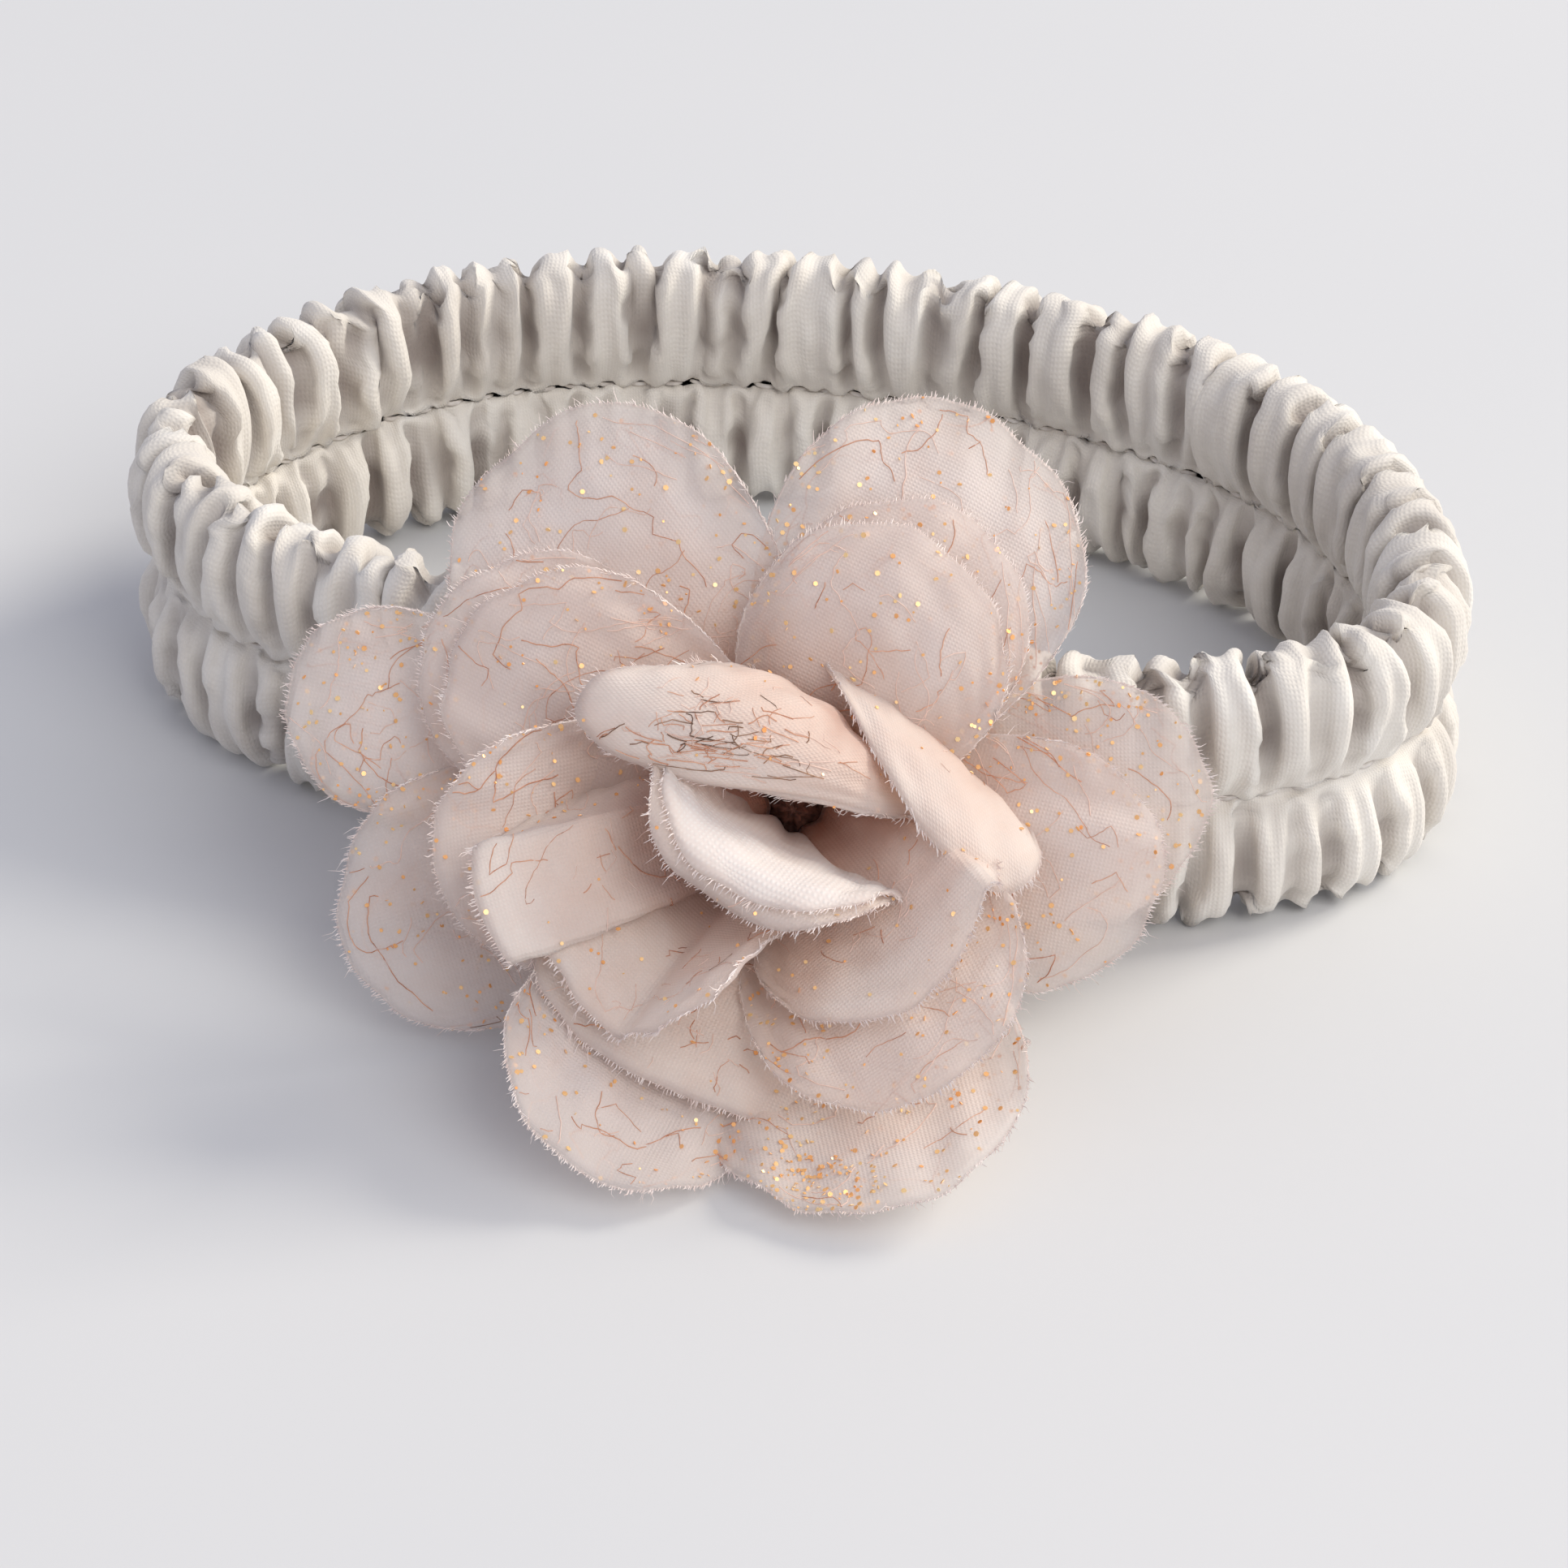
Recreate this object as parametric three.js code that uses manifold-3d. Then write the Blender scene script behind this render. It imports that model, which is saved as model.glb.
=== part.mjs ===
// Floral headband for a baby. A gathered fabric tube is sewn along its middle line into two channels,
// and a flat elastic ring runs in each channel. A flower of separately cut chiffon petals is sewn to a
// felt disc on the front of the band. Millimetres, +Z up, the flower faces -Y, and the origin is at
// the middle of the underside of the whole part.

import * as THREE from 'three';
import { mergeVertices } from 'three/addons/utils/BufferGeometryUtils.js';
import Module from 'manifold-3d';

const wasm = await Module();
wasm.setup();

// Clearance between pieces that touch
const GAP = 0.3;

// Plan of the relaxed band: an oval through the middle of the cloth, fuller at its front corners
const BAND_HALF_LENGTH = 60;
const BAND_HALF_DEPTH = 34.6;
const BAND_TURN = -16.4;
const OVAL_FRONT_WAVE = 0.056;
const OVAL_CORNER_WAVE = 0.022;
const FLOWER_BEARING = -80;

// Gathered cover
const BAND_HEIGHT = 28.2;
const PUFF_THICKNESS = 9;
const PUFF_FLANK = 6.4;
const SEAM_THICKNESS = 2.6;
const GATHER_COUNT = 64;
const FRONT_GATHERS = 22;
const SIDE_GATHERS = 10;
const GATHER_DEPTH = 1.2;
const EDGE_SCALLOP = 0.6;
const UNDERSIDE_CUT = 0.5;
const UNDERSIDE_WIDTH = 3.2;

// Elastic rings, one in each channel
const ELASTIC_WIDTH = 6;
const ELASTIC_THICKNESS = 1;

// Sewing threads
const SEAM_THREAD = 0.5;
const TACK_THREAD = 0.7;
const TACK_SPAN = 5.6;
const TACK_SPACING = 12;

// Flower base
const FELT_DIAMETER = 26;
const FELT_THICKNESS = 1.2;
const CORE_BASE_DIAMETER = 9;
const CORE_TOP_DIAMETER = 4.4;
const CORE_LENGTH = 13;
const FLOWER_TILT = 30;
const PETAL_THICKNESS = 0.6;

// Side of the square of chiffon that a petal is cut from
const PETAL_BLANK = 50;

// Petals. Azimuth is the way a petal points round the flower, 0 to the right and 90 up; rise is the
// height of its root in per cent of the core; length and half width are in per cent of the square;
// start and end are its slopes off the flower's plane at root and tip; cup bends its sides to the front
// (+) or back (-); lean bends it sideways; round is the depth of its rounded end as a share of its half
// width, 1 where none is given. Angles are in degrees.
const PETALS = [
  { name: 'outer_petal_1', azimuth: 127, rise: 14, length: 83, half: 26.8, start: 48, end: -34, cup: -8 },
  { name: 'outer_petal_2', azimuth: 62, rise: 20, length: 78, half: 27.6, start: 46, end: -34, cup: -8 },
  { name: 'outer_petal_3', azimuth: 166.5, rise: 25, length: 87, half: 18, start: 18, end: -4, cup: 8 },
  { name: 'outer_petal_4', azimuth: 196, rise: 17, length: 79, half: 23, start: 16, end: 10, cup: 10 },
  { name: 'outer_petal_5', azimuth: 238, rise: 23, length: 85, half: 24, start: 28, end: 56, cup: 12 },
  { name: 'outer_petal_6', azimuth: 285, rise: 17, length: 88, half: 28, start: 30, end: 63, cup: 6 },
  { name: 'outer_petal_7', azimuth: 2, rise: 23, length: 70, half: 21, start: 26, end: 4, cup: 0 },
  { name: 'middle_petal_1', azimuth: 152, rise: 35, length: 69, half: 22, start: 34, end: -6, cup: -16 },
  { name: 'middle_petal_2', azimuth: 152, rise: 51, length: 65, half: 22, start: 44, end: -16, cup: -20 },
  { name: 'middle_petal_3', azimuth: 60, rise: 42, length: 59, half: 23, start: 48, end: -22, cup: -20 },
  { name: 'middle_petal_4', azimuth: 63, rise: 55, length: 54.8, half: 24, start: 58, end: -26, cup: -28 },
  { name: 'middle_petal_5', azimuth: -13, rise: 37, length: 64, half: 22, start: 36, end: 2, cup: -14 },
  { name: 'middle_petal_6', azimuth: 194, rise: 35, length: 67, half: 20, start: 28, end: 14, cup: 4 },
  { name: 'middle_petal_7', azimuth: -60, rise: 37, length: 68, half: 25, start: 54, end: 40, cup: 10 },
  { name: 'inner_petal_1', azimuth: 80, rise: 58, length: 64, half: 26,
    start: 0, end: 192, cup: -30, lean: 24 },
  { name: 'inner_petal_2', azimuth: 24, rise: 69, length: 39, half: 22, start: 58, end: 24, cup: 18 },
  { name: 'inner_petal_3', azimuth: -40, rise: 62, length: 51, half: 24, start: 60, end: 44, cup: 28 },
  { name: 'inner_petal_4', azimuth: 197, rise: 54, length: 64, half: 17, start: 42, end: 24, cup: 85 },
  { name: 'inner_petal_5', azimuth: 237, rise: 73, length: 28, half: 24,
    start: 86, end: 16, cup: 30, round: 0.4 },
  { name: 'inner_petal_6', azimuth: 235, rise: 62, length: 58, half: 13, start: 60, end: 42, cup: 80 },
  { name: 'inner_petal_7', azimuth: 241, rise: 49, length: 64, half: 24,
    start: 50, end: 42, cup: 0, round: 0.4 },
];
const PETAL_ROOT_SHARE = 0.35;
const PETAL_ROWS = 6;
const PETAL_COLUMNS = 6;

const rad = THREE.MathUtils.degToRad;

// Solids

function toManifold(geometry) {
  const bare = geometry.clone();
  bare.deleteAttribute('normal');
  bare.deleteAttribute('uv');
  const merged = mergeVertices(bare, 1e-4);
  return new wasm.Manifold(new wasm.Mesh({
    numProp: 3,
    vertProperties: new Float32Array(merged.attributes.position.array),
    triVerts: new Uint32Array(merged.index.array),
  }));
}

function toGeometry(solid) {
  const mesh = solid.getMesh();
  const geometry = new THREE.BufferGeometry();
  geometry.setAttribute('position', new THREE.BufferAttribute(new Float32Array(mesh.vertProperties), 3));
  geometry.setIndex(new THREE.BufferAttribute(new Uint32Array(mesh.triVerts), 1));
  geometry.computeVertexNormals();
  return geometry;
}

function largestPiece(solid) {
  const pieces = solid.decompose();
  return pieces.reduce((best, piece) => (piece.volume() > best.volume() ? piece : best));
}

// A closed mesh from points and triangles, turned so that its faces point out
function closedGeometry(points, triangles) {
  let volume = 0;
  for (const [i, j, k] of triangles) {
    volume += points[i].dot(new THREE.Vector3().crossVectors(points[j], points[k]));
  }
  const faces = volume > 0 ? triangles : triangles.map(([i, j, k]) => [i, k, j]);
  const geometry = new THREE.BufferGeometry();
  geometry.setAttribute('position', new THREE.Float32BufferAttribute(points.flatMap((p) => p.toArray()), 3));
  geometry.setIndex(faces.flat());
  geometry.computeVertexNormals();
  return geometry;
}

// A solid through rings of points, either closed on itself or capped with the given flat triangles
function ringSolid(rings, cap) {
  const count = rings[0].length;
  const points = rings.flat();
  const triangles = [];
  const steps = cap ? rings.length - 1 : rings.length;
  for (let s = 0; s < steps; s += 1) {
    const a = s * count;
    const b = ((s + 1) % rings.length) * count;
    for (let i = 0; i < count; i += 1) {
      const j = (i + 1) % count;
      triangles.push([a + i, a + j, b + j], [a + i, b + j, b + i]);
    }
  }
  if (cap) {
    const last = (rings.length - 1) * count;
    for (const [i, j, k] of cap) {
      triangles.push([i, k, j], [last + i, last + j, last + k]);
    }
  }
  return closedGeometry(points, triangles);
}

// Plan curve of the band, measured along its length from the flower

function ovalPoint(angle) {
  const wave = 1 - OVAL_FRONT_WAVE * Math.sin(3 * angle) - OVAL_CORNER_WAVE * Math.cos(4 * angle);
  const point = new THREE.Vector2(BAND_HALF_LENGTH * Math.cos(angle), BAND_HALF_DEPTH * Math.sin(angle));
  return point.multiplyScalar(wave).rotateAround(new THREE.Vector2(), rad(BAND_TURN));
}

const OVAL_SAMPLES = 1440;
const ovalLengths = [0];
const ovalAngle = (i) => rad(FLOWER_BEARING) + (2 * Math.PI * i) / OVAL_SAMPLES;
for (let i = 1; i <= OVAL_SAMPLES; i += 1) {
  ovalLengths.push(ovalLengths[i - 1] + ovalPoint(ovalAngle(i)).distanceTo(ovalPoint(ovalAngle(i - 1))));
}
const BAND_LENGTH = ovalLengths[OVAL_SAMPLES];

// Place on the band: the point on the centreline, the way along it and the way out of it
function station(along) {
  const length = THREE.MathUtils.euclideanModulo(along, BAND_LENGTH);
  let i = 1;
  while (ovalLengths[i] < length) i += 1;
  const part = (length - ovalLengths[i - 1]) / (ovalLengths[i] - ovalLengths[i - 1]);
  const angle = ovalAngle(i - 1 + part);
  const point = ovalPoint(angle);
  const tangent = ovalPoint(angle + 1e-3).sub(ovalPoint(angle - 1e-3)).normalize();
  return { point, tangent, normal: new THREE.Vector2(tangent.y, -tangent.x) };
}

function onBand(place, out, height) {
  const flat = place.point.clone().addScaledVector(place.normal, out);
  return new THREE.Vector3(flat.x, flat.y, height);
}

// Gathered cover: two rows of puffs over one sewn middle line

const seamHeight = BAND_HEIGHT / 2;
const rowHeights = [BAND_HEIGHT / 4, (3 * BAND_HEIGHT) / 4];

function coverSection(fold, grow) {
  const bulge = PUFF_THICKNESS / 2 - fold * GATHER_DEPTH + grow;
  const seam = SEAM_THICKNESS / 2 + grow;
  const foot = Math.min(UNDERSIDE_WIDTH / 2, bulge - 1) + grow;
  const flank = PUFF_FLANK / 2;
  const side = [
    [foot, UNDERSIDE_CUT - grow],
    [bulge, rowHeights[0] - flank],
    [bulge, rowHeights[0] + flank],
    [seam, seamHeight],
    [bulge, rowHeights[1] - flank],
    [bulge, rowHeights[1] + flank],
  ];
  const top = [0, BAND_HEIGHT - fold * EDGE_SCALLOP + grow];
  return [...side, top, ...side.map(([out, height]) => [-out, height]).reverse()];
}

const sectionShape = coverSection(0, 0).map(([out, height]) => new THREE.Vector2(out, height));
const sectionCap = THREE.ShapeUtils.triangulateShape(sectionShape, []);
const gatherPitch = BAND_LENGTH / GATHER_COUNT;

function coverLength(first, last, grow) {
  const rings = [];
  for (let half = 2 * first; half <= 2 * last; half += 1) {
    const end = half === 2 * first ? GAP / 2 : half === 2 * last ? -GAP / 2 : 0;
    const place = station((half * gatherPitch) / 2 + end);
    const fold = Math.abs(half % 2);
    rings.push(coverSection(fold, grow).map(([out, height]) => onBand(place, out, height)));
  }
  return ringSolid(rings, sectionCap);
}

// Flat elastic ring, or the channel round it, as a closed loop of straight lengths
const ELASTIC_STEPS = 40;

function elasticRing(height, grow) {
  const half = [ELASTIC_THICKNESS / 2 + grow, ELASTIC_WIDTH / 2 + grow];
  const rings = [];
  for (let s = 0; s < ELASTIC_STEPS; s += 1) {
    const place = station((s * BAND_LENGTH) / ELASTIC_STEPS);
    const corners = [[1, -1], [1, 1], [-1, 1], [-1, -1]];
    rings.push(corners.map(([a, b]) => onBand(place, a * half[0], height + b * half[1])));
  }
  return ringSolid(rings);
}

// Thread laid round the band at one distance from the centreline
const THREAD_STEPS = 48;
const THREAD_SIDES = 5;

function seamThread(out) {
  const rings = [];
  for (let s = 0; s < THREAD_STEPS; s += 1) {
    const place = station((s * BAND_LENGTH) / THREAD_STEPS);
    const ring = [];
    for (let i = 0; i < THREAD_SIDES; i += 1) {
      const turn = (2 * Math.PI * i) / THREAD_SIDES;
      const across = (SEAM_THREAD / 2) * Math.cos(turn);
      ring.push(onBand(place, out + across, seamHeight + (SEAM_THREAD / 2) * Math.sin(turn)));
    }
    rings.push(ring);
  }
  return ringSolid(rings);
}

// Flower base: where the felt disc lies flat against the front of the band

const front = station(0);
const frontOut = new THREE.Vector3(front.normal.x, front.normal.y, 0);
const frontAlong = new THREE.Vector3(front.tangent.x, front.tangent.y, 0);
const frontUp = new THREE.Vector3(0, 0, 1);
const feltBack = PUFF_THICKNESS / 2 + GAP;
const feltFront = feltBack + FELT_THICKNESS;
const frontFrame = new THREE.Matrix4().makeBasis(frontAlong, frontUp, frontOut);
frontFrame.setPosition(onBand(front, 0, seamHeight));

function feltDisc(grow) {
  const radius = FELT_DIAMETER / 2 + grow;
  const disc = new THREE.CylinderGeometry(radius, radius, FELT_THICKNESS + 2 * grow, 32);
  disc.rotateX(Math.PI / 2);
  disc.translate(0, 0, feltBack + FELT_THICKNESS / 2);
  return disc.applyMatrix4(frontFrame);
}

// Tacking stitch: a loop of doubled thread through the felt and the band, across the sewn line
function tackLoop(side, grow) {
  const radius = TACK_THREAD / 2 + grow;
  const outer = feltFront + GAP + TACK_THREAD / 2;
  const inner = -(PUFF_THICKNESS / 2 + GAP + TACK_THREAD / 2);
  const half = TACK_SPAN / 2;
  const corners = [[outer, half], [inner, half], [inner, -half], [outer, -half]];
  const rings = corners.map(([out, height]) => {
    const inwardOut = out === outer ? -1 : 1;
    const inwardUp = height > 0 ? -1 : 1;
    const ring = [];
    for (let s = 0; s < THREAD_SIDES; s += 1) {
      const turn = (2 * Math.PI * s) / THREAD_SIDES;
      const across = radius * Math.cos(turn);
      const along = radius * Math.sin(turn);
      const place = new THREE.Vector3(
        side * (TACK_SPACING / 2) + along,
        height + inwardUp * across,
        out + inwardOut * across,
      );
      ring.push(place.applyMatrix4(frontFrame));
    }
    return ring;
  });
  return ringSolid(rings);
}

// Flower frame: its origin at the middle of the felt's front, its axis tilted up from the front
const flowerAxis = new THREE.Vector3(0, -Math.cos(rad(FLOWER_TILT)), Math.sin(rad(FLOWER_TILT)));
const flowerRight = new THREE.Vector3(1, 0, 0);
const flowerUp = new THREE.Vector3().crossVectors(flowerAxis, flowerRight);
const flowerFrame = new THREE.Matrix4().makeBasis(flowerRight, flowerUp, flowerAxis);
flowerFrame.setPosition(onBand(front, feltFront, seamHeight));

// Stitched core: the petals' gathered roots bound with thread, cut square where it meets the felt
function stitchedCore(grow) {
  const base = CORE_BASE_DIAMETER / 2;
  const profile = [
    new THREE.Vector2(0, -base),
    new THREE.Vector2(base + grow, -base),
    new THREE.Vector2(base + grow, CORE_LENGTH * 0.3),
    new THREE.Vector2(CORE_TOP_DIAMETER / 2 + grow, CORE_LENGTH * 0.9),
    new THREE.Vector2(CORE_TOP_DIAMETER / 4 + grow, CORE_LENGTH + grow),
    new THREE.Vector2(0, CORE_LENGTH + grow),
  ];
  const turned = new THREE.LatheGeometry(profile, 16);
  turned.rotateX(Math.PI / 2);
  turned.applyMatrix4(flowerFrame);
  const depth = 4 * CORE_BASE_DIAMETER;
  const behind = new THREE.BoxGeometry(depth, depth, depth);
  behind.translate(0, 0, feltFront + GAP - grow - depth / 2);
  behind.applyMatrix4(frontFrame);
  return toManifold(turned).subtract(toManifold(behind));
}

// Point of a petal's middle surface: row runs from root to rim and turn from one side to the other.
// Margin carries the outline's own points that much further out.
function petalPoint(petal, row, turn, margin) {
  const length = (PETAL_BLANK * petal.length) / 100;
  const half = (PETAL_BLANK * petal.half) / 100;
  const rise = (CORE_LENGTH * petal.rise) / 100;
  const start = rad(petal.start);
  const bend = rad(petal.end - petal.start);
  const lean = rad(petal.lean ?? 0);
  const rounded = half * (petal.round ?? 1) * (1 - Math.cos(turn));
  const further = row === 1 ? margin : row === 0 ? -margin : 0;
  const wider = Math.abs(turn) === Math.PI / 2 ? margin : 0;
  const reach = row * (length - rounded) + further;
  const share = reach / length;
  const width = PETAL_ROOT_SHARE + (1 - PETAL_ROOT_SHARE) * Math.sin((row * Math.PI) / 2);
  const across = (half * width + wider) * Math.sin(turn);
  const slope = start + bend * share;
  const turned = Math.abs(bend) < 1e-3 ? 1e-3 : bend;
  const spineOut = (length / turned) * (Math.sin(start + turned * share) - Math.sin(start));
  const spineUp = (length / turned) * (Math.cos(start) - Math.cos(start + turned * share));
  const sideways = (length * lean * share * share) / 2;
  const curve = (rad(petal.cup) / half) * Math.sin((Math.PI / 2) * Math.min(1, 1.2 * share));
  const flat = Math.abs(curve) < 1e-6;
  const wide = flat ? across : Math.sin(curve * across) / curve;
  const lift = flat ? 0 : (1 - Math.cos(curve * across)) / curve;
  const out = CORE_TOP_DIAMETER / 2 + spineOut - lift * Math.sin(slope);
  const up = rise + spineUp + lift * Math.cos(slope);
  const point = new THREE.Vector3(out, wide + sideways, up);
  point.applyAxisAngle(new THREE.Vector3(0, 0, 1), rad(petal.azimuth));
  return point;
}

function petalSolid(petal, grow) {
  const middle = (r, c) => petalPoint(petal, r / PETAL_ROWS, Math.PI * (c / PETAL_COLUMNS - 0.5), grow);
  const points = [[], []];
  const step = 0.02;
  for (let r = 0; r <= PETAL_ROWS; r += 1) {
    for (let c = 0; c <= PETAL_COLUMNS; c += 1) {
      const inRow = Math.min(Math.max(r, step), PETAL_ROWS - step);
      const inColumn = Math.min(Math.max(c, step), PETAL_COLUMNS - step);
      const along = middle(inRow + step, inColumn).sub(middle(inRow - step, inColumn));
      const across = middle(inRow, inColumn + step).sub(middle(inRow, inColumn - step));
      const normal = along.cross(across).normalize();
      const half = PETAL_THICKNESS / 2 + grow;
      points[0].push(middle(r, c).addScaledVector(normal, half));
      points[1].push(middle(r, c).addScaledVector(normal, -half));
    }
  }
  const wide = PETAL_COLUMNS + 1;
  const under = points[0].length;
  const at = (r, c) => r * wide + c;
  const triangles = [];
  for (let r = 0; r < PETAL_ROWS; r += 1) {
    for (let c = 0; c < PETAL_COLUMNS; c += 1) {
      const quad = [at(r, c), at(r + 1, c), at(r + 1, c + 1), at(r, c + 1)];
      triangles.push([quad[0], quad[1], quad[2]], [quad[0], quad[2], quad[3]]);
      const below = quad.map((i) => i + under);
      triangles.push([below[0], below[2], below[1]], [below[0], below[3], below[2]]);
    }
  }
  const rim = [];
  for (let c = 0; c < PETAL_COLUMNS; c += 1) rim.push(at(0, c));
  for (let r = 0; r < PETAL_ROWS; r += 1) rim.push(at(r, PETAL_COLUMNS));
  for (let c = PETAL_COLUMNS; c > 0; c -= 1) rim.push(at(PETAL_ROWS, c));
  for (let r = PETAL_ROWS; r > 0; r -= 1) rim.push(at(r, 0));
  rim.forEach((i, n) => {
    const j = rim[(n + 1) % rim.length];
    triangles.push([i, j, j + under], [i, j + under, i + under]);
  });
  const geometry = closedGeometry(points.flat(), triangles);
  return toManifold(geometry.applyMatrix4(flowerFrame));
}

// Assembly

const assembly = new THREE.Group();

function addPiece(name, geometry, color, roughness) {
  const mesh = new THREE.Mesh(geometry, new THREE.MeshStandardMaterial({ color, roughness, metalness: 0 }));
  mesh.name = name;
  assembly.add(mesh);
}

const CLOTH = 0xd9d4cd;
const THREAD = 0xe6e1da;
const ELASTIC = 0xf1efeb;
const FELT = 0xe9ddd5;
const CHIFFON = 0xe3d1c8;

const tackCuts = [-1, 1].map((side) => toManifold(tackLoop(side, GAP)));
const channelCuts = rowHeights.map((height) => toManifold(elasticRing(height, GAP)));
const backFirst = FRONT_GATHERS / 2 + SIDE_GATHERS;
const coverLengths = {
  cover_front: [-FRONT_GATHERS / 2, FRONT_GATHERS / 2],
  cover_right: [FRONT_GATHERS / 2, backFirst],
  cover_back: [backFirst, GATHER_COUNT - backFirst],
  cover_left: [GATHER_COUNT - backFirst, GATHER_COUNT - FRONT_GATHERS / 2],
};
for (const [name, [first, last]] of Object.entries(coverLengths)) {
  let solid = toManifold(coverLength(first, last, 0));
  for (const cut of [...channelCuts, ...tackCuts]) solid = solid.subtract(cut);
  addPiece(name, toGeometry(solid), CLOTH, 0.9);
}

addPiece('lower_elastic', elasticRing(rowHeights[0], 0), ELASTIC, 0.8);
addPiece('upper_elastic', elasticRing(rowHeights[1], 0), ELASTIC, 0.8);

const threadOut = SEAM_THICKNESS / 2 + GAP + SEAM_THREAD / 2;
addPiece('outer_seam_thread', seamThread(threadOut), THREAD, 0.6);
addPiece('inner_seam_thread', seamThread(-threadOut), THREAD, 0.6);

let felt = toManifold(feltDisc(0));
for (const cut of tackCuts) felt = felt.subtract(cut);
addPiece('felt_disc', toGeometry(felt), FELT, 0.95);
addPiece('left_tack_stitch', tackLoop(-1, 0), THREAD, 0.6);
addPiece('right_tack_stitch', tackLoop(1, 0), THREAD, 0.6);
addPiece('stitched_core', toGeometry(stitchedCore(0)), CHIFFON, 0.8);

const taken = [
  toManifold(coverLength(-GATHER_COUNT / 2, GATHER_COUNT / 2, GAP)),
  toManifold(feltDisc(GAP)),
  stitchedCore(GAP),
  ...tackCuts,
];
for (const petal of PETALS) {
  let solid = petalSolid(petal, 0);
  for (const cut of taken) solid = solid.subtract(cut);
  const piece = largestPiece(solid);
  addPiece(petal.name, toGeometry(piece), CHIFFON, 0.75);
  taken.push(petalSolid(petal, GAP), petalSolid(petal, 0));
}

// Origin at the middle of the underside of the whole part
const bounds = new THREE.Box3().setFromObject(assembly, true);
const middle = bounds.getCenter(new THREE.Vector3());
assembly.position.set(-middle.x, -middle.y, -bounds.min.z);

const headband = new THREE.Group();
headband.add(assembly);

export default headband;
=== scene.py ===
"""Dresses the floral headband: a gathered cloth band and a flower of sheer chiffon petals."""
import math

import bpy
import numpy as np
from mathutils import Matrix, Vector


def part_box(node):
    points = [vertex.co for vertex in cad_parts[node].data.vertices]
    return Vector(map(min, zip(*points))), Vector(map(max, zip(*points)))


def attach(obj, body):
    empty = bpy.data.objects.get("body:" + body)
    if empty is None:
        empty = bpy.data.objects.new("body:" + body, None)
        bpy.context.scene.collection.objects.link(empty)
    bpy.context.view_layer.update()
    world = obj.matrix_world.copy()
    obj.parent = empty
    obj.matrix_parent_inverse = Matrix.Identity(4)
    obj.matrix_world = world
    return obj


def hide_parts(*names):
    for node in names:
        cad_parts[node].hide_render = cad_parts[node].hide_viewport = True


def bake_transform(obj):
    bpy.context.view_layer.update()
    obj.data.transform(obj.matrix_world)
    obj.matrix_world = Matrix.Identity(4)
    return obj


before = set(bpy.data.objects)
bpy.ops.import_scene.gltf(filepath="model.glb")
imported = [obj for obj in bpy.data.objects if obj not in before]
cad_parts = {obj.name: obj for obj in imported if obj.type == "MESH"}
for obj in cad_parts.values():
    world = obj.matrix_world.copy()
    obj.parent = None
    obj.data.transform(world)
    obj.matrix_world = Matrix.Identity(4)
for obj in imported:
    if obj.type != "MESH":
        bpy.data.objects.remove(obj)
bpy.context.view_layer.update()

# Sizes in millimetres, as in the part's own frame before it is set on its origin
BAND_HALF_LENGTH, BAND_HALF_DEPTH, BAND_TURN = 60.0, 34.6, math.radians(-16.4)
FRONT_WAVE, CORNER_WAVE, FLOWER_BEARING = 0.056, 0.022, math.radians(-80)
BAND_HEIGHT, UNDERSIDE, SEAM_HALF, PUFF_HALF = 28.2, 0.5, 1.3, 4.5
GATHERS, GATHER_DEPTH = 64, 2.2
SEAM_HEIGHT = BAND_HEIGHT / 2
ROW_HEIGHTS = (BAND_HEIGHT / 4, 3 * BAND_HEIGHT / 4)
ELASTIC_WIDTH, ELASTIC_THICKNESS, ELASTIC_STEPS = 6.0, 1.0, 40
FELT_RADIUS, FELT_BACK, FELT_FRONT = 13.0, 4.8, 6.0
TACK_SPACING, TACK_SPAN = 12.0, 5.6
CORE_LENGTH, CORE_BASE, CORE_TOP = 13.0, 4.5, 2.2
FLOWER_TILT = math.radians(30)
PETAL_BLANK, ROOT_SHARE, PLY = 50.0, 0.35, 0.26


# Plan curve of the band, measured along its length from the flower

def oval(angle):
    wave = 1 - FRONT_WAVE * np.sin(3 * angle) - CORNER_WAVE * np.cos(4 * angle)
    x = BAND_HALF_LENGTH * np.cos(angle) * wave
    y = BAND_HALF_DEPTH * np.sin(angle) * wave
    c, s = math.cos(BAND_TURN), math.sin(BAND_TURN)
    return np.stack([c * x - s * y, s * x + c * y], -1)


OVAL_POINTS = 2881
oval_angles = FLOWER_BEARING + np.linspace(0, 2 * np.pi, OVAL_POINTS)
oval_steps = np.linalg.norm(np.diff(oval(oval_angles), axis=0), axis=1)
oval_lengths = np.concatenate([[0], np.cumsum(oval_steps)])
BAND_LENGTH = float(oval_lengths[-1])
PITCH = BAND_LENGTH / GATHERS


def station(along):
    """Point, tangent and outward normal of the plan curve at a length from the flower."""
    step = 1e-3
    angle = np.interp(np.mod(along, BAND_LENGTH), oval_lengths, oval_angles)
    tangent = oval(angle + step) - oval(angle - step)
    tangent /= np.linalg.norm(tangent, axis=-1, keepdims=True)
    normal = np.stack([tangent[..., 1], -tangent[..., 0]], -1)
    return oval(angle), tangent, normal


def on_band(along, out, height):
    point, _, normal = station(along)
    flat = point + normal * np.asarray(out)[..., None]
    return np.concatenate([flat, np.broadcast_to(height, flat.shape[:-1])[..., None]], -1)


# Where the frame's origin lies, from the upper elastic's own corners
ring = np.arange(ELASTIC_STEPS) * BAND_LENGTH / ELASTIC_STEPS
corners = np.concatenate([
    on_band(ring, np.full(ELASTIC_STEPS, side * ELASTIC_THICKNESS / 2), ROW_HEIGHTS[1] - ELASTIC_WIDTH / 2)
    for side in (-1, 1)
])
SHIFT = np.array(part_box("upper_elastic")[0]) * 1000 - corners.min(0)


def placed(points):
    return (np.asarray(points, float) + SHIFT) * 0.001


# Meshes

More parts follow.
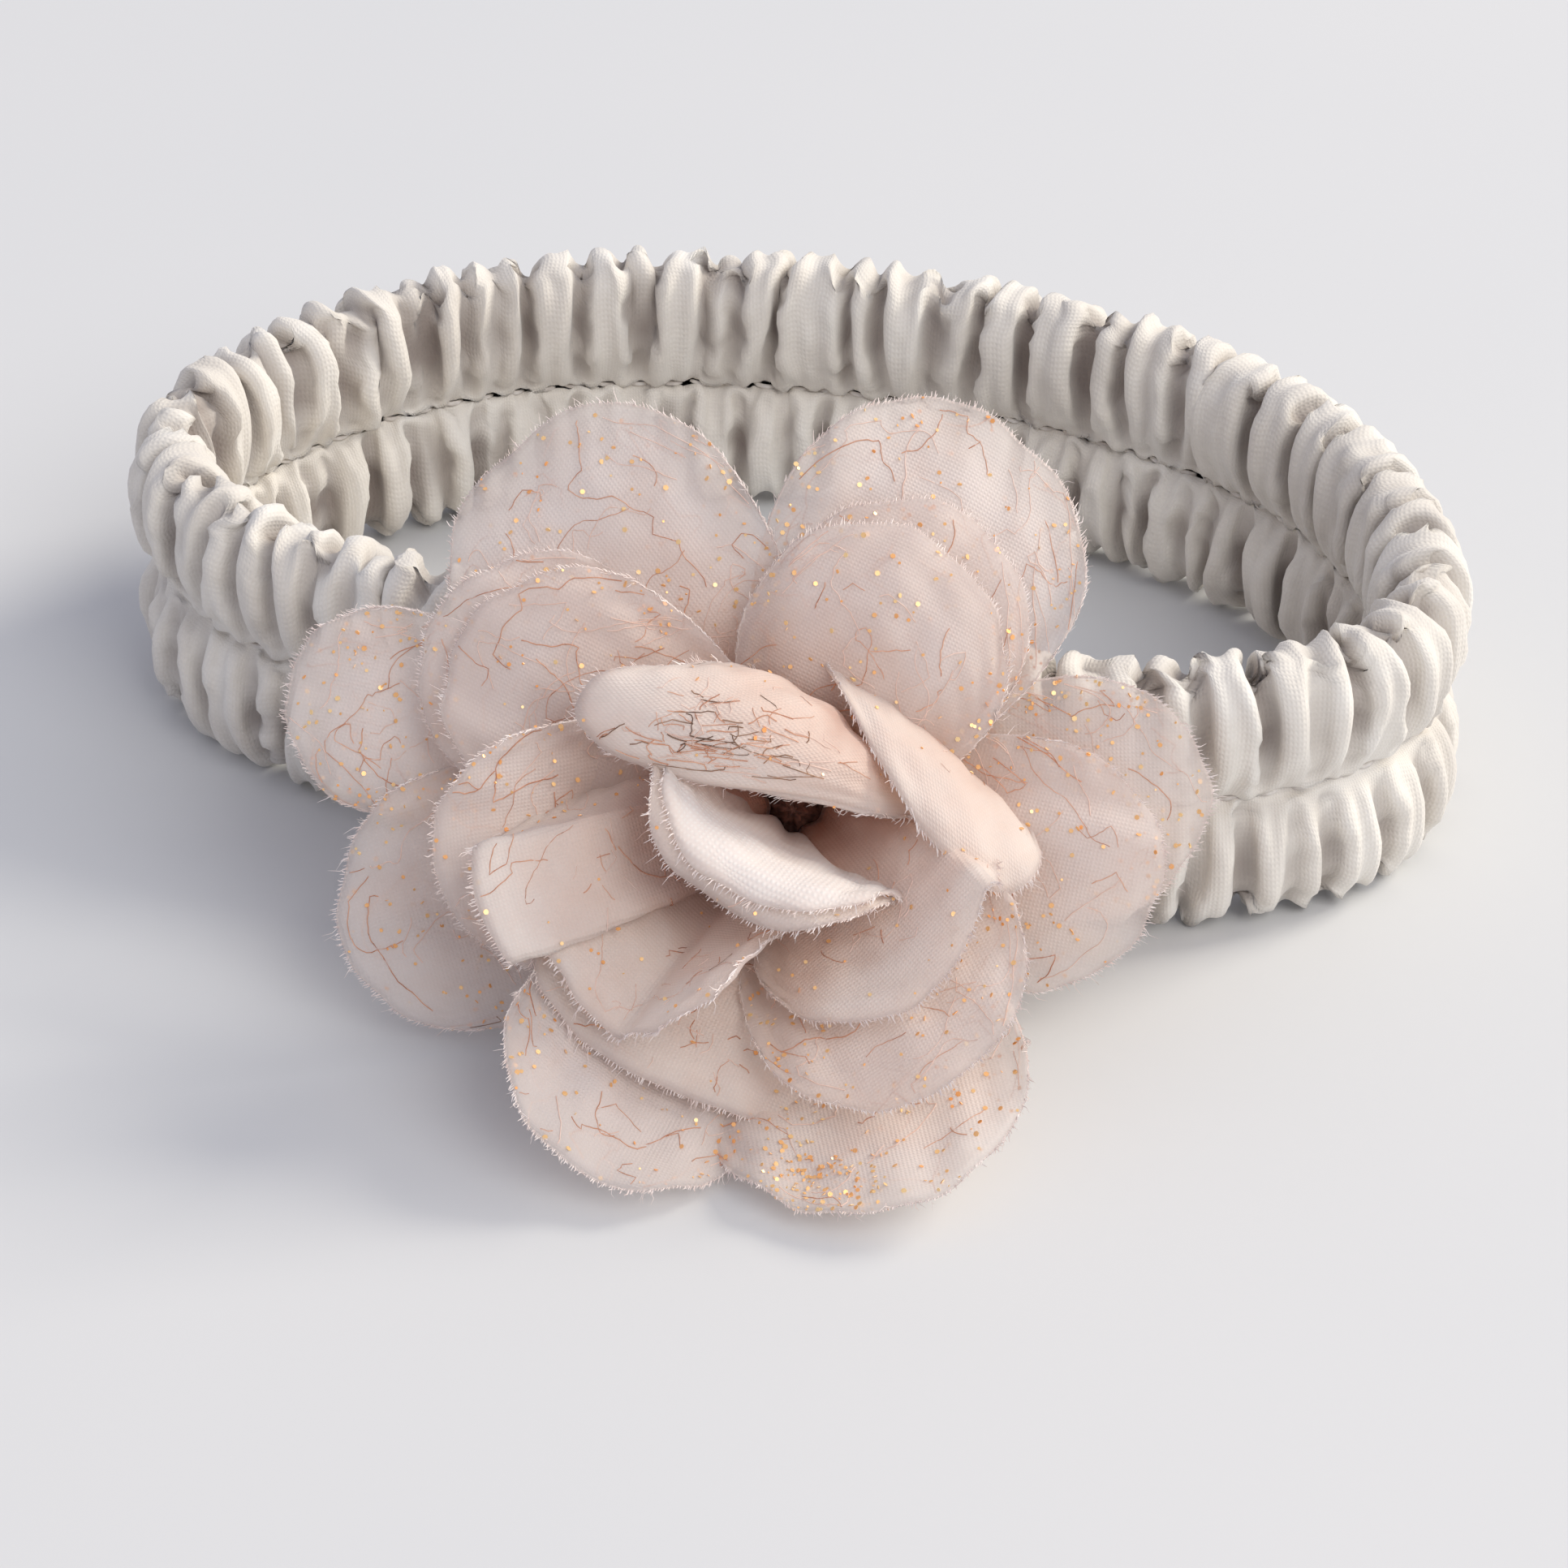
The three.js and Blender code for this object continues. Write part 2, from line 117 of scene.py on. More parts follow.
def add_mesh(name, points, faces, materials, loop_uv=None, values=None, slots=None, smooth=True):
    mesh = bpy.data.meshes.new(name)
    mesh.from_pydata(placed(points).tolist(), [], [list(map(int, f)) for f in faces])
    mesh.polygons.foreach_set("use_smooth", [smooth] * len(mesh.polygons))
    if loop_uv is not None:
        layer = mesh.uv_layers.new(name="cloth")
        layer.data.foreach_set("uv", np.asarray(loop_uv, np.float32).ravel())
    for key, value in (values or {}).items():
        attribute = mesh.attributes.new(key, "FLOAT", "POINT")
        attribute.data.foreach_set("value", np.asarray(value, np.float32).ravel())
    for material in materials:
        mesh.materials.append(material)
    if slots is not None:
        mesh.polygons.foreach_set("material_index", np.asarray(slots, np.int32))
    mesh.update()
    obj = bpy.data.objects.new(name, mesh)
    bpy.context.scene.collection.objects.link(obj)
    return obj


def grid_quads(rows, columns, wrap=False):
    """Quads of a rows x columns grid of points, as an array of four indices each."""
    r, c = np.meshgrid(np.arange(rows - 1), np.arange(columns if wrap else columns - 1), indexing="ij")
    d = (c + 1) % columns
    quads = np.stack([r * columns + c, r * columns + d, (r + 1) * columns + d, (r + 1) * columns + c], -1)
    return quads.reshape(-1, 4)


def ring_faces(count, sides, closed=False):
    """Faces of a run of rings of points, made into a loop or else capped at both ends."""
    faces = [list(q) for q in grid_quads(count, sides, wrap=True)]
    last = (count - 1) * sides
    if closed:
        return faces + [[last + i, last + (i + 1) % sides, (i + 1) % sides, i] for i in range(sides)]
    return faces + [list(range(sides))[::-1], [last + i for i in range(sides)]]


# A direction that no thread runs along, from which a thread's sides are found
ASKEW = (0.31, 0.17, 0.94)


def tube(path, radius, sides, closed=False):
    """Points and faces of a tube along a path, with a radius at each point."""
    path = np.asarray(path, float)
    count = len(path)
    radius = np.broadcast_to(radius, count)
    ahead = np.roll(path, -1, 0) - np.roll(path, 1, 0)
    if not closed:
        ahead[0], ahead[-1] = path[1] - path[0], path[-1] - path[-2]
    ahead /= np.linalg.norm(ahead, axis=1, keepdims=True) + 1e-12
    side = np.cross(ahead, ASKEW)
    side /= np.linalg.norm(side, axis=1, keepdims=True) + 1e-12
    other = np.cross(ahead, side)
    turn = np.arange(sides) * 2 * np.pi / sides
    ring_points = path[:, None] + radius[:, None, None] * (
        side[:, None] * np.cos(turn)[None, :, None] + other[:, None] * np.sin(turn)[None, :, None])
    return ring_points.reshape(-1, 3), ring_faces(count, sides, closed)


def joined(parts):
    """One set of points and faces from several, with the part's number for each face."""
    points, faces, numbers, start = [], [], [], 0
    for number, (p, f) in enumerate(parts):
        points.append(p)
        faces += [[start + i for i in face] for face in f]
        numbers += [number] * len(f)
        start += len(p)
    return np.concatenate(points), faces, numbers


# Materials

class Nodes:
    """A material's nodes, made one call at a time."""

    def __init__(self, name):
        self.material = bpy.data.materials.new(name)
        self.material.use_nodes = True
        self.tree = self.material.node_tree
        self.tree.nodes.clear()

    def add(self, kind, **settings):
        node = self.tree.nodes.new(kind)
        for key, value in settings.items():
            if hasattr(node, key):
                setattr(node, key, value)
            else:
                node.inputs[key.replace("_", " ")].default_value = value
        return node

    def link(self, source, target):
        self.tree.links.new(source, target)

    def place(self, kind="Object"):
        return self.add("ShaderNodeTexCoord").outputs[kind]

    def attribute(self, name):
        return self.add("ShaderNodeAttribute", attribute_name=name).outputs["Fac"]

    def noise(self, place, **settings):
        node = self.add("ShaderNodeTexNoise", **settings)
        self.link(place, node.inputs["Vector"])
        return node.outputs["Fac"]

    def bump(self, height, strength, distance, below=None):
        node = self.add("ShaderNodeBump", Strength=strength, Distance=distance)
        self.link(height, node.inputs["Height"])
        if below:
            self.link(below, node.inputs["Normal"])
        return node.outputs[0]

    def ramp(self, source, stops):
        node = self.tree.nodes.new("ShaderNodeValToRGB")
        elements = node.color_ramp.elements
        while len(elements) < len(stops):
            elements.new(0.5)
        for element, (position, colour) in zip(elements, stops):
            element.position = position
            element.color = (*colour, 1)
        self.link(source, node.inputs[0])
        return node.outputs[0]

    def mix(self, share, a, b):
        node = self.tree.nodes.new("ShaderNodeMix")
        node.data_type = "RGBA"
        for socket, value in ((node.inputs[0], share), (node.inputs[6], a), (node.inputs[7], b)):
            if isinstance(value, bpy.types.NodeSocket):
                self.link(value, socket)
            elif isinstance(value, (int, float)):
                socket.default_value = value
            else:
                socket.default_value = (*value, 1)
        return node.outputs[2]

    def math(self, operation, a, b=0.0, clamp=False):
        node = self.tree.nodes.new("ShaderNodeMath")
        node.operation = operation
        node.use_clamp = clamp
        for socket, value in zip(node.inputs, (a, b)):
            if isinstance(value, bpy.types.NodeSocket):
                self.link(value, socket)
            else:
                socket.default_value = value
        return node.outputs[0]

    def span(self, source, low, high, to_low=0.0, to_high=1.0):
        node = self.add("ShaderNodeMapRange")
        for key, value in (("From Min", low), ("From Max", high), ("To Min", to_low), ("To Max", to_high)):
            node.inputs[key].default_value = value
        self.link(source, node.inputs[0])
        return node.outputs[0]

    def finish(self, surface):
        output = self.tree.nodes.new("ShaderNodeOutputMaterial")
        self.link(surface, output.inputs[0])
        return self.material


def linear(red, green, blue):
    """A colour given as it looks on a screen, 0 to 255, as a shader takes it."""
    return tuple(((v / 255 + 0.055) / 1.055) ** 2.4 for v in (red, green, blue))


def weave(nodes, pitch, strength_of_slub=0.25):
    """Height of a plain weave over the cloth's own millimetres, with slubs."""
    place = nodes.place("UV")
    slub = nodes.noise(place, Scale=1.4, Detail=3.0)
    heights = []
    for direction in ("X", "Y"):
        wave = nodes.add("ShaderNodeTexWave", wave_type="BANDS", bands_direction=direction,
                         Scale=0.314 / pitch, Distortion=0.6, Detail=1.0)
        nodes.link(place, wave.inputs["Vector"])
        heights.append(wave.outputs["Fac"])
    threads = nodes.math("MULTIPLY", heights[0], heights[1])
    return nodes.math("ADD", threads, nodes.math("MULTIPLY", slub, strength_of_slub))


def band_material():
    nodes = Nodes("band_cloth")
    height = weave(nodes, 0.42)
    patches = nodes.noise(nodes.place(), Scale=90.0, Detail=4.0, Roughness=0.6)
    cloth = nodes.ramp(patches, [
        (0.30, linear(216, 209, 199)), (0.52, linear(230, 224, 214)), (0.74, linear(240, 236, 228))])
    # Painted shade: where the cloth lies deep in the folds, its colour is mixed towards a dark brown-grey
    # that stands in for the shade in the gathers
    painted_fold_shade = nodes.attribute("painted_fold_shade")
    fold_painted_shade = nodes.mix(nodes.span(painted_fold_shade, 0.05, 0.75, 0.85, 0.0), cloth, linear(138, 125, 118))
    threaded = nodes.mix(nodes.span(height, 0.0, 1.0, 0.07, 0.0), fold_painted_shade, linear(178, 168, 160))
    shader = nodes.add("ShaderNodeBsdfPrincipled", Roughness=0.86, Sheen_Weight=0.25, Sheen_Roughness=0.5)
    shader.inputs["Specular IOR Level"].default_value = 0.22
    nodes.link(threaded, shader.inputs["Base Color"])
    nodes.link(nodes.span(patches, 0.3, 0.7, 0.8, 0.94), shader.inputs["Roughness"])
    nodes.link(nodes.bump(height, 0.35, 0.00012), shader.inputs["Normal"])
    return nodes.finish(shader.outputs[0])


def chiffon_material(name, pale, mid, deep, sheer, clear, pitch=0.34, grain=0.08):
    """Sheer crepe, with light coming through it. Its colour is painted paler at the cut edge, a painted
    highlight along the rim, and darker and rosier towards the root, painted shade deep in the flower. What
    lies behind
    shows most at the edge: clear gives that edge's width in millimetres, then how much each face lets through
    there and inside."""
    nodes = Nodes(name)
    position = nodes.place()
    height = weave(nodes, pitch, 0.5)
    cloud = nodes.noise(position, Scale=140.0, Detail=3.0, Roughness=0.55)
    root, edge = nodes.attribute("root"), nodes.attribute("edge_mm")
    # Painted shade: the colour runs darker and rosier towards the root, standing in for the shade deep in the
    # flower's heart
    depth = nodes.math("ADD", root, nodes.span(cloud, 0.3, 0.7, -0.14, 0.14), clamp=True)
    body = nodes.ramp(depth, [(0.0, pale), (0.38, mid), (0.95, deep)])
    # Painted highlight: a lighter band within a millimetre of the cut edge, standing in for light caught
    # along the rim
    rim = nodes.mix(nodes.span(edge, 0.0, 0.9, 0.75, 0.0), body, linear(243, 232, 226))
    cloth = nodes.mix(nodes.span(height, 0.1, 1.1, grain, 0.0), rim, deep)
    shader = nodes.add("ShaderNodeBsdfPrincipled", Roughness=0.78, Sheen_Weight=0.35, Sheen_Roughness=0.4)
    shader.inputs["Specular IOR Level"].default_value = 0.2
    nodes.link(cloth, shader.inputs["Base Color"])
    nodes.link(nodes.span(height, 0.0, 1.2, 0.9, 0.66), shader.inputs["Roughness"])
    wrinkle = nodes.noise(position, Scale=430.0, Detail=2.0, Roughness=0.5)
    uneven = nodes.math("ADD", cloud, nodes.math("MULTIPLY", wrinkle, 0.42))
    crumple = nodes.bump(uneven, 0.4, 0.0006)
    nodes.link(nodes.bump(height, 0.45, 0.00012, below=crumple), shader.inputs["Normal"])
    through = nodes.add("ShaderNodeBsdfTranslucent")
    nodes.link(cloth, through.inputs["Color"])
    mixed = nodes.add("ShaderNodeMixShader")
    mixed.inputs[0].default_value = sheer
    nodes.link(shader.outputs[0], mixed.inputs[1])
    nodes.link(through.outputs[0], mixed.inputs[2])
    gaps = nodes.add("ShaderNodeBsdfTransparent")
    veil = nodes.add("ShaderNodeMixShader")
    nodes.link(nodes.span(edge, 0.0, *clear), veil.inputs[0])
    nodes.link(mixed.outputs[0], veil.inputs[1])
    nodes.link(gaps.outputs[0], veil.inputs[2])
    return nodes.finish(veil.outputs[0])


def thread_material(name, dark, light, scale, roughness, metal=0.0):
    """Spun or metal-wrapped thread, uneven along its length."""
    nodes = Nodes(name)
    uneven = nodes.noise(nodes.place(), Scale=scale, Detail=3.0)
    colour = nodes.ramp(uneven, [(0.35, dark), (0.65, light)])
    shader = nodes.add("ShaderNodeBsdfPrincipled", Metallic=metal)
    nodes.link(colour, shader.inputs["Base Color"])
    nodes.link(nodes.span(uneven, 0.3, 0.7, roughness - 0.1, roughness + 0.1), shader.inputs["Roughness"])
    nodes.link(nodes.bump(uneven, 0.4, 0.00005), shader.inputs["Normal"])
    return nodes.finish(shader.outputs[0])


CLOTH = band_material()
CHIFFON = chiffon_material(
    "chiffon", pale=linear(251, 241, 234), mid=linear(243, 224, 212), deep=linear(212, 168, 147),
    sheer=0.32, clear=(7.0, 0.64, 0.22))
CREPE = chiffon_material(
    "crepe", pale=linear(255, 248, 241), mid=linear(251, 234, 222), deep=linear(204, 150, 126),
    sheer=0.46, clear=(2.5, 0.4, 0.0))
NET = chiffon_material(
    "glitter_net", pale=linear(254, 250, 246), mid=linear(252, 245, 239), deep=linear(226, 198, 184),
    sheer=0.3, clear=(2.0, 0.4, 0.05), pitch=0.45, grain=0.2)
# The bound roots are coloured dark brown as painted shade, standing in for the shadow in the flower's hollow
BOUND_SHADE = thread_material("bound_roots_painted_shade", linear(84, 54, 44), linear(140, 96, 80), 700.0, 0.85)
THREAD = thread_material("thread", linear(196, 188, 180), linear(226, 221, 214), 900.0, 0.62)
RUBBER = thread_material("elastic", linear(214, 210, 204), linear(240, 238, 234), 500.0, 0.75)
FELT = thread_material("felt", linear(214, 196, 188), linear(236, 224, 217), 260.0, 0.88)
FRAY = thread_material("fray", linear(226, 208, 200), linear(244, 234, 228), 600.0, 0.7)
COPPER = thread_material("copper_fibre", linear(206, 150, 122), linear(240, 192, 162), 420.0, 0.32, 0.5)
VEILED = thread_material("veiled_fibre", linear(226, 192, 174), linear(238, 212, 198), 420.0, 0.6)
DARK = thread_material("dark_fibre", linear(104, 80, 66), linear(196, 156, 128), 420.0, 0.36, 0.4)
FLAKE = thread_material("gold_flake", linear(255, 178, 108), linear(255, 220, 160), 300.0, 0.25, 0.3)


# Band: one gathered strip, folded round two elastics and sewn along the middle

STATIONS = 1400
LOBE_STEPS = 33
UPPER_SEED, LOWER_SEED = 11, 23

# Length of the strip over the band's, where it is free and at the seam
FULLNESS, SEAM_FULLNESS = 1.76, 1.08
# Where the puffs are widest, along the band from the flower, and how uneven their widths are
WIDEST, UNEVEN = 52.0, 0.28
# Least width of a puff, and its crease's width and length, as shares of a puff and of a turn
LEAST_PUFF, PUFF_CREASE_WIDTH, PUFF_CREASE_LENGTH = 0.16, 0.15, 0.6
# Settling: its steps, the share of the motion kept, and how much threads, folds and bends give at a step
SETTLE_STEPS, DAMPING = 240, 0.8
THREAD_GIVE, FOLD_GIVE, BEND_GIVE = 0.4, 0.22, 0.05
# Stations apart, and how many steps of thread must lie between them, so that folds stay open
FOLD_ROOM = ((2, 1.97), (3, 2.87), (5, 4.48), (7, 5.5), (10, 5.6), (14, 2.6), (19, 2.2))
# How far the cloth may stand out of the channel's outline or sink into it, and the depths over which cloth
# sunk in the folds is painted darker, as painted shade
PROUD, SUNK, PAINTED_SHADE_DEPTH, PAINTED_SHADE_SPAN = 0.3, 3.6, 2.8, 3.0
TABLE = -SHIFT[2]


def puffs(rng, along, turns):
    """Height 0 to 1 of the gathered cloth, its lean, and shallow creases, for one row of puffs.
    Turns run from -1 at the seam inside, over the edge at 0, to 1 at the seam outside."""
    base = (np.arange(GATHERS) + rng.uniform(-0.3, 0.3, GATHERS)) * PITCH
    phase = 2 * np.pi * (base - WIDEST) / BAND_LENGTH
    first = np.sin(2 * np.pi * WIDEST / BAND_LENGTH)
    base = base + UNEVEN * BAND_LENGTH / (2 * np.pi) * (np.sin(phase) + first)
    slants = [np.clip(rng.normal(0, 0.3, GATHERS), -0.45, 0.45) * PITCH for _ in range(2)]
    tall = rng.uniform(0.66, 1.0, GATHERS)
    rise, fall = rng.uniform(0.1, 0.42, GATHERS), rng.uniform(0.1, 0.42, GATHERS)
    lean = (rise - fall) * rng.uniform(1.5, 4.0, GATHERS)
    crease_at = rng.uniform(0.36, 0.64, GATHERS)
    crease_from = rng.uniform(-1.0, 1.0, GATHERS)
    crease_deep = rng.uniform(0.0, 0.3, GATHERS)
    least = LEAST_PUFF * PITCH * np.arange(GATHERS)
    height = np.zeros((len(turns), len(along)))
    leaning = np.zeros_like(height)
    for row, turn in enumerate(turns):
        place = base + (slants[0] if turn > 0 else slants[1]) * abs(turn)
        place = np.maximum.accumulate(place - least) + least
        wide = np.concatenate([[place[-1] - BAND_LENGTH], place, [place[0] + BAND_LENGTH]])
        at = np.clip(np.searchsorted(wide, along, side="right") - 1, 0, GATHERS)
        width = wide[at + 1] - wide[at]
        share = np.clip((along - wide[at]) / width, 0, 1)
        puff = (at - 1) % GATHERS
        flanks = [np.sin(np.pi / 2 * np.minimum(1, part / slope[puff]))
                  for part, slope in ((share, rise), (1 - share, fall))]
        pipe = (flanks[0] * flanks[1]) ** 0.85
        size = np.minimum(1.0, (width / PITCH) ** 0.7)
        crease = np.exp(-(((share - crease_at[puff]) * width / PITCH) / PUFF_CREASE_WIDTH) ** 2)
        window = np.exp(-((turn - crease_from[puff]) / PUFF_CREASE_LENGTH) ** 2)
        height[row] = pipe * (tall[puff] * size - crease * window * crease_deep[puff])
        leaning[row] = lean[puff] * pipe * size
    return height, leaning


def lobe_section(lower, turn_angle):
    """Outline of one channel from seam to seam: distance out and height, inside first."""
    seam_side = (1 + np.cos(turn_angle)) / 2
    side = -np.sign(np.sin(turn_angle))
    round_out = PUFF_HALF * np.abs(np.sin(turn_angle)) ** 0.82
    out = side * (round_out + SEAM_HALF * seam_side ** 8 * (1 - np.abs(np.sin(turn_angle))))
    out[0], out[-1] = -SEAM_HALF, SEAM_HALF
    tall = (SEAM_HEIGHT - UNDERSIDE) / 2 if lower else SEAM_HEIGHT / 2
    middle = SEAM_HEIGHT + (-tall if lower else tall)
    up = -np.cos(turn_angle) * tall * (-1 if lower else 1)
    return out, middle + up, seam_side


def gathered_lobe(seed, lower):
    """One row of puffs before the cloth settles: how far each point lies along, out and up, with the
    channel's own outline and the direction out of it."""
    rng = np.random.default_rng(seed)
    along = np.arange(STATIONS) * BAND_LENGTH / STATIONS
    turn_angle = np.linspace(0, 2 * np.pi, LOBE_STEPS)
    height, leaning = puffs(rng, along, turn_angle / np.pi - 1)
    out, up, seam_side = lobe_section(lower, turn_angle)
    outline = np.stack([out, up], -1)
    steps = np.gradient(outline, axis=0)
    normal = np.stack([steps[:, 1], -steps[:, 0]], -1)
    normal /= np.linalg.norm(normal, axis=1, keepdims=True)
    centre = np.array([0, ROW_HEIGHTS[0 if lower else 1]])
    outward = np.where(((outline - centre) * normal).sum(1) > 0, 1, -1)[:, None] * normal
    flank = np.abs(np.sin(turn_angle))
    # Gathers are deepest on the flanks, shallower over the edge and shallowest at the seam
    share = flank + (1 - flank) * (0.48 - 0.24 * (2 * seam_side - 1))
    down = GATHER_DEPTH * share[:, None] * (1 - height)
    shifted = along[None] + leaning * (flank[:, None] ** 0.7)
    place = outline[:, None] - outward[:, None] * down[..., None]
    full = SEAM_FULLNESS + (FULLNESS - SEAM_FULLNESS) * np.minimum(1, 2.2 * (1 - seam_side)) ** 0.8
    return np.concatenate([shifted[..., None], place], -1), outline, outward, full


def settled(cloth, outline, outward, full, held):
    """Lets the gathered cloth find its own folds: threads keep their length, the seams hold, and the
    cloth stays round the elastic and within the channel."""
    along = np.arange(STATIONS) * BAND_LENGTH / STATIONS
    middle, _, normal = station(along)
    rest_along = (full * BAND_LENGTH / STATIONS)[:, None]
    rest_across = np.linalg.norm(np.diff(outline, axis=0), axis=1)[:, None]
    free = np.ones((len(cloth), 1, 1))
    free[held] = 0
    fixed = cloth[held].copy()
    before = cloth.copy()
    every = np.arange(STATIONS)
    for _ in range(SETTLE_STEPS):
        cloth, before = cloth + DAMPING * (cloth - before) * free, cloth.copy()
        for first in (0, 1):
            near = every[first::2]
            far = (near + 1) % STATIONS
            gap = cloth[:, far] - cloth[:, near]
            move = gap * (THREAD_GIVE * (1 - rest_along / np.linalg.norm(gap, axis=2)))[..., None]
            cloth[:, near] += move
            cloth[:, far] -= move
        for first in (0, 1):
            near, far = cloth[first:-1:2], cloth[first + 1::2]
            gap = far - near
            stretch = 1 - rest_across[first::2] / np.linalg.norm(gap, axis=2)
            move = gap * (THREAD_GIVE * stretch)[..., None]
            near += move
            far -= move
        for apart, least in FOLD_ROOM:
            gap = np.roll(cloth, -apart, 1) - cloth
            length = np.linalg.norm(gap, axis=2, keepdims=True) + 1e-9
            move = gap / length * np.maximum(0, least * rest_along[..., None] - length) * FOLD_GIVE
            cloth += np.roll(move, apart, 1) - move
        cloth[1:-1] += BEND_GIVE * ((cloth[2:] + cloth[:-2]) / 2 - cloth[1:-1])
        out = ((cloth[..., :2] - middle) * normal).sum(-1)
        proud = (out - outline[:, :1]) * outward[:, :1] + (cloth[..., 2] - outline[:, 1:]) * outward[:, 1:]
        excess = np.maximum(0, proud - PROUD) + np.minimum(0, proud + SUNK)
        cloth[..., :2] -= normal * (excess * outward[:, :1])[..., None]
        cloth[..., 2] -= excess * outward[:, 1:]
        cloth[..., 2] = np.maximum(cloth[..., 2], TABLE)
        cloth[held] = fixed
    # Also returned: how deep in the folds each point lies, which the band's colour turns into painted shade
    return cloth, np.clip((proud + PAINTED_SHADE_DEPTH) / PAINTED_SHADE_SPAN, 0, 1)


def gathered_cover():
    """The settled strip: the upper row of puffs and the lower one, joined at the seam."""
    lobes = [gathered_lobe(UPPER_SEED, lower=False), gathered_lobe(LOWER_SEED, lower=True)]
    local, outline, outward, full = (
        np.concatenate([lobes[0][i], lobes[1][i][::-1][1:]]) for i in range(4))
    start = on_band(local[..., 0], local[..., 1], 0)
    start[..., 2] = local[..., 2]
    rows = len(start)
    points, painted_fold_shade = settled(start, outline, outward, full, [0, LOBE_STEPS - 1, rows - 1])
    quads = grid_quads(rows, STATIONS, wrap=True)
    across = np.linspace(0, 1.06 * 2 * BAND_HEIGHT, rows)
    r, c = np.meshgrid(np.arange(rows - 1), np.arange(STATIONS), indexing="ij")
    step = FULLNESS * BAND_LENGTH / STATIONS
    u = np.stack([c, c + 1, c + 1, c], -1) * step
    v = np.stack([across[r], across[r], across[r + 1], across[r + 1]], -1)
    return add_mesh("gathered_cover", points.reshape(-1, 3), quads, [CLOTH],
                    np.stack([u, v], -1).reshape(-1, 2), {"painted_fold_shade": painted_fold_shade})


def stretches(piece, slot, *nodes):
    """The piece's placement is baked into its points, and it stands for these nodes, which are hidden."""
    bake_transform(piece)
    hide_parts(*nodes)
    return piece


cover = gathered_cover()
stretches(cover, "band_cloth", "cover_front", "cover_right", "cover_back", "cover_left")


def ribbed_elastic(name, height):
    """Flat woven elastic with lengthwise ribs."""
    steps, ribs, rib_points, rib_depth = 320, 6, 4, 0.12
    profile = []
    for i in range(ribs * rib_points + 1):
        rise = -0.5 + i / (ribs * rib_points)
        groove = rib_depth * (0.5 - 0.5 * math.cos(2 * math.pi * i / rib_points))
        profile.append((ELASTIC_THICKNESS / 2 - groove, rise * ELASTIC_WIDTH))
    section = profile + [(-o, h) for o, h in profile[::-1]]
    along = np.arange(steps) * BAND_LENGTH / steps
    points = np.stack([on_band(along, np.full(steps, o), height + h) for o, h in section])
    return add_mesh(name, points.reshape(-1, 3), ring_faces(len(section), steps, closed=True), [RUBBER])


for row_name, row_height in zip(("lower_elastic", "upper_elastic"), ROW_HEIGHTS):
    stretches(ribbed_elastic(row_name + "_webbing", row_height), "elastic", row_name)


def running_stitches(name, side):
    """Stitches of the middle line on one face of the band, each dipping into the cloth at its ends."""
    count, stitch_length, dip, arch, slant, thickness = 92, 2.3, 0.2, 0.5, 0.22, 0.2
    share = np.linspace(0, 1, 7)
    parts = []
    for k in range(count):
        along = k * BAND_LENGTH / count + share * stitch_length
        out = side * (SEAM_HALF - dip + arch * np.sin(np.pi * share) ** 0.7)
        height = SEAM_HEIGHT + slant * (share - 0.5)
        parts.append(tube(on_band(along, out, height), thickness + 0.05 * np.sin(np.pi * share), 8))
    points, faces, _ = joined(parts)
    return add_mesh(name, points, faces, [THREAD])


stretches(running_stitches("outer_stitches", 1), "thread", "outer_seam_thread")
stretches(running_stitches("inner_stitches", -1), "thread", "inner_seam_thread")

# Flower base: felt, tacking stitches and the bound core

front_point, front_tangent, front_normal = (v[0] for v in station(np.zeros(1)))
FRONT = np.array([*front_point, SEAM_HEIGHT])
ALONG, OUT, UP = np.array([*front_tangent, 0]), np.array([*front_normal, 0]), np.array([0, 0, 1.0])


def on_front(along, up, out):
    return FRONT + np.multiply.outer(along, ALONG) + np.multiply.outer(up, UP) + np.multiply.outer(out, OUT)


def felt_disc():
    """A cut round of felt with soft, slightly uneven edges."""
    rng = np.random.default_rng(5)
    sides = 96
    turn = np.arange(sides) * 2 * np.pi / sides
    uneven = 1 + 0.006 * np.sin(5 * turn + 1) + 0.004 * rng.normal(size=sides)
    middle, half = (FELT_BACK + FELT_FRONT) / 2, (FELT_FRONT - FELT_BACK) / 2
    profile = [(r, half) for r in (0.05, 0.25, 0.45, 0.65, 0.82, 0.93)]
    profile += [(0.975, 0.85 * half), (0.995, 0.4 * half), (0.995, -0.4 * half), (0.975, -0.85 * half)]
    profile += [(r, -half) for r in (0.93, 0.82, 0.65, 0.45, 0.25, 0.05)]
    rings = []
    for share, out in profile:
        radius = FELT_RADIUS * share * uneven
        lift = 0.05 * rng.normal(size=sides) if share < 0.97 else 0
        rings.append(on_front(radius * np.cos(turn), radius * np.sin(turn), middle + out + lift * 0.6))
    return add_mesh("felt_round", np.concatenate(rings), ring_faces(len(rings), sides), [FELT])


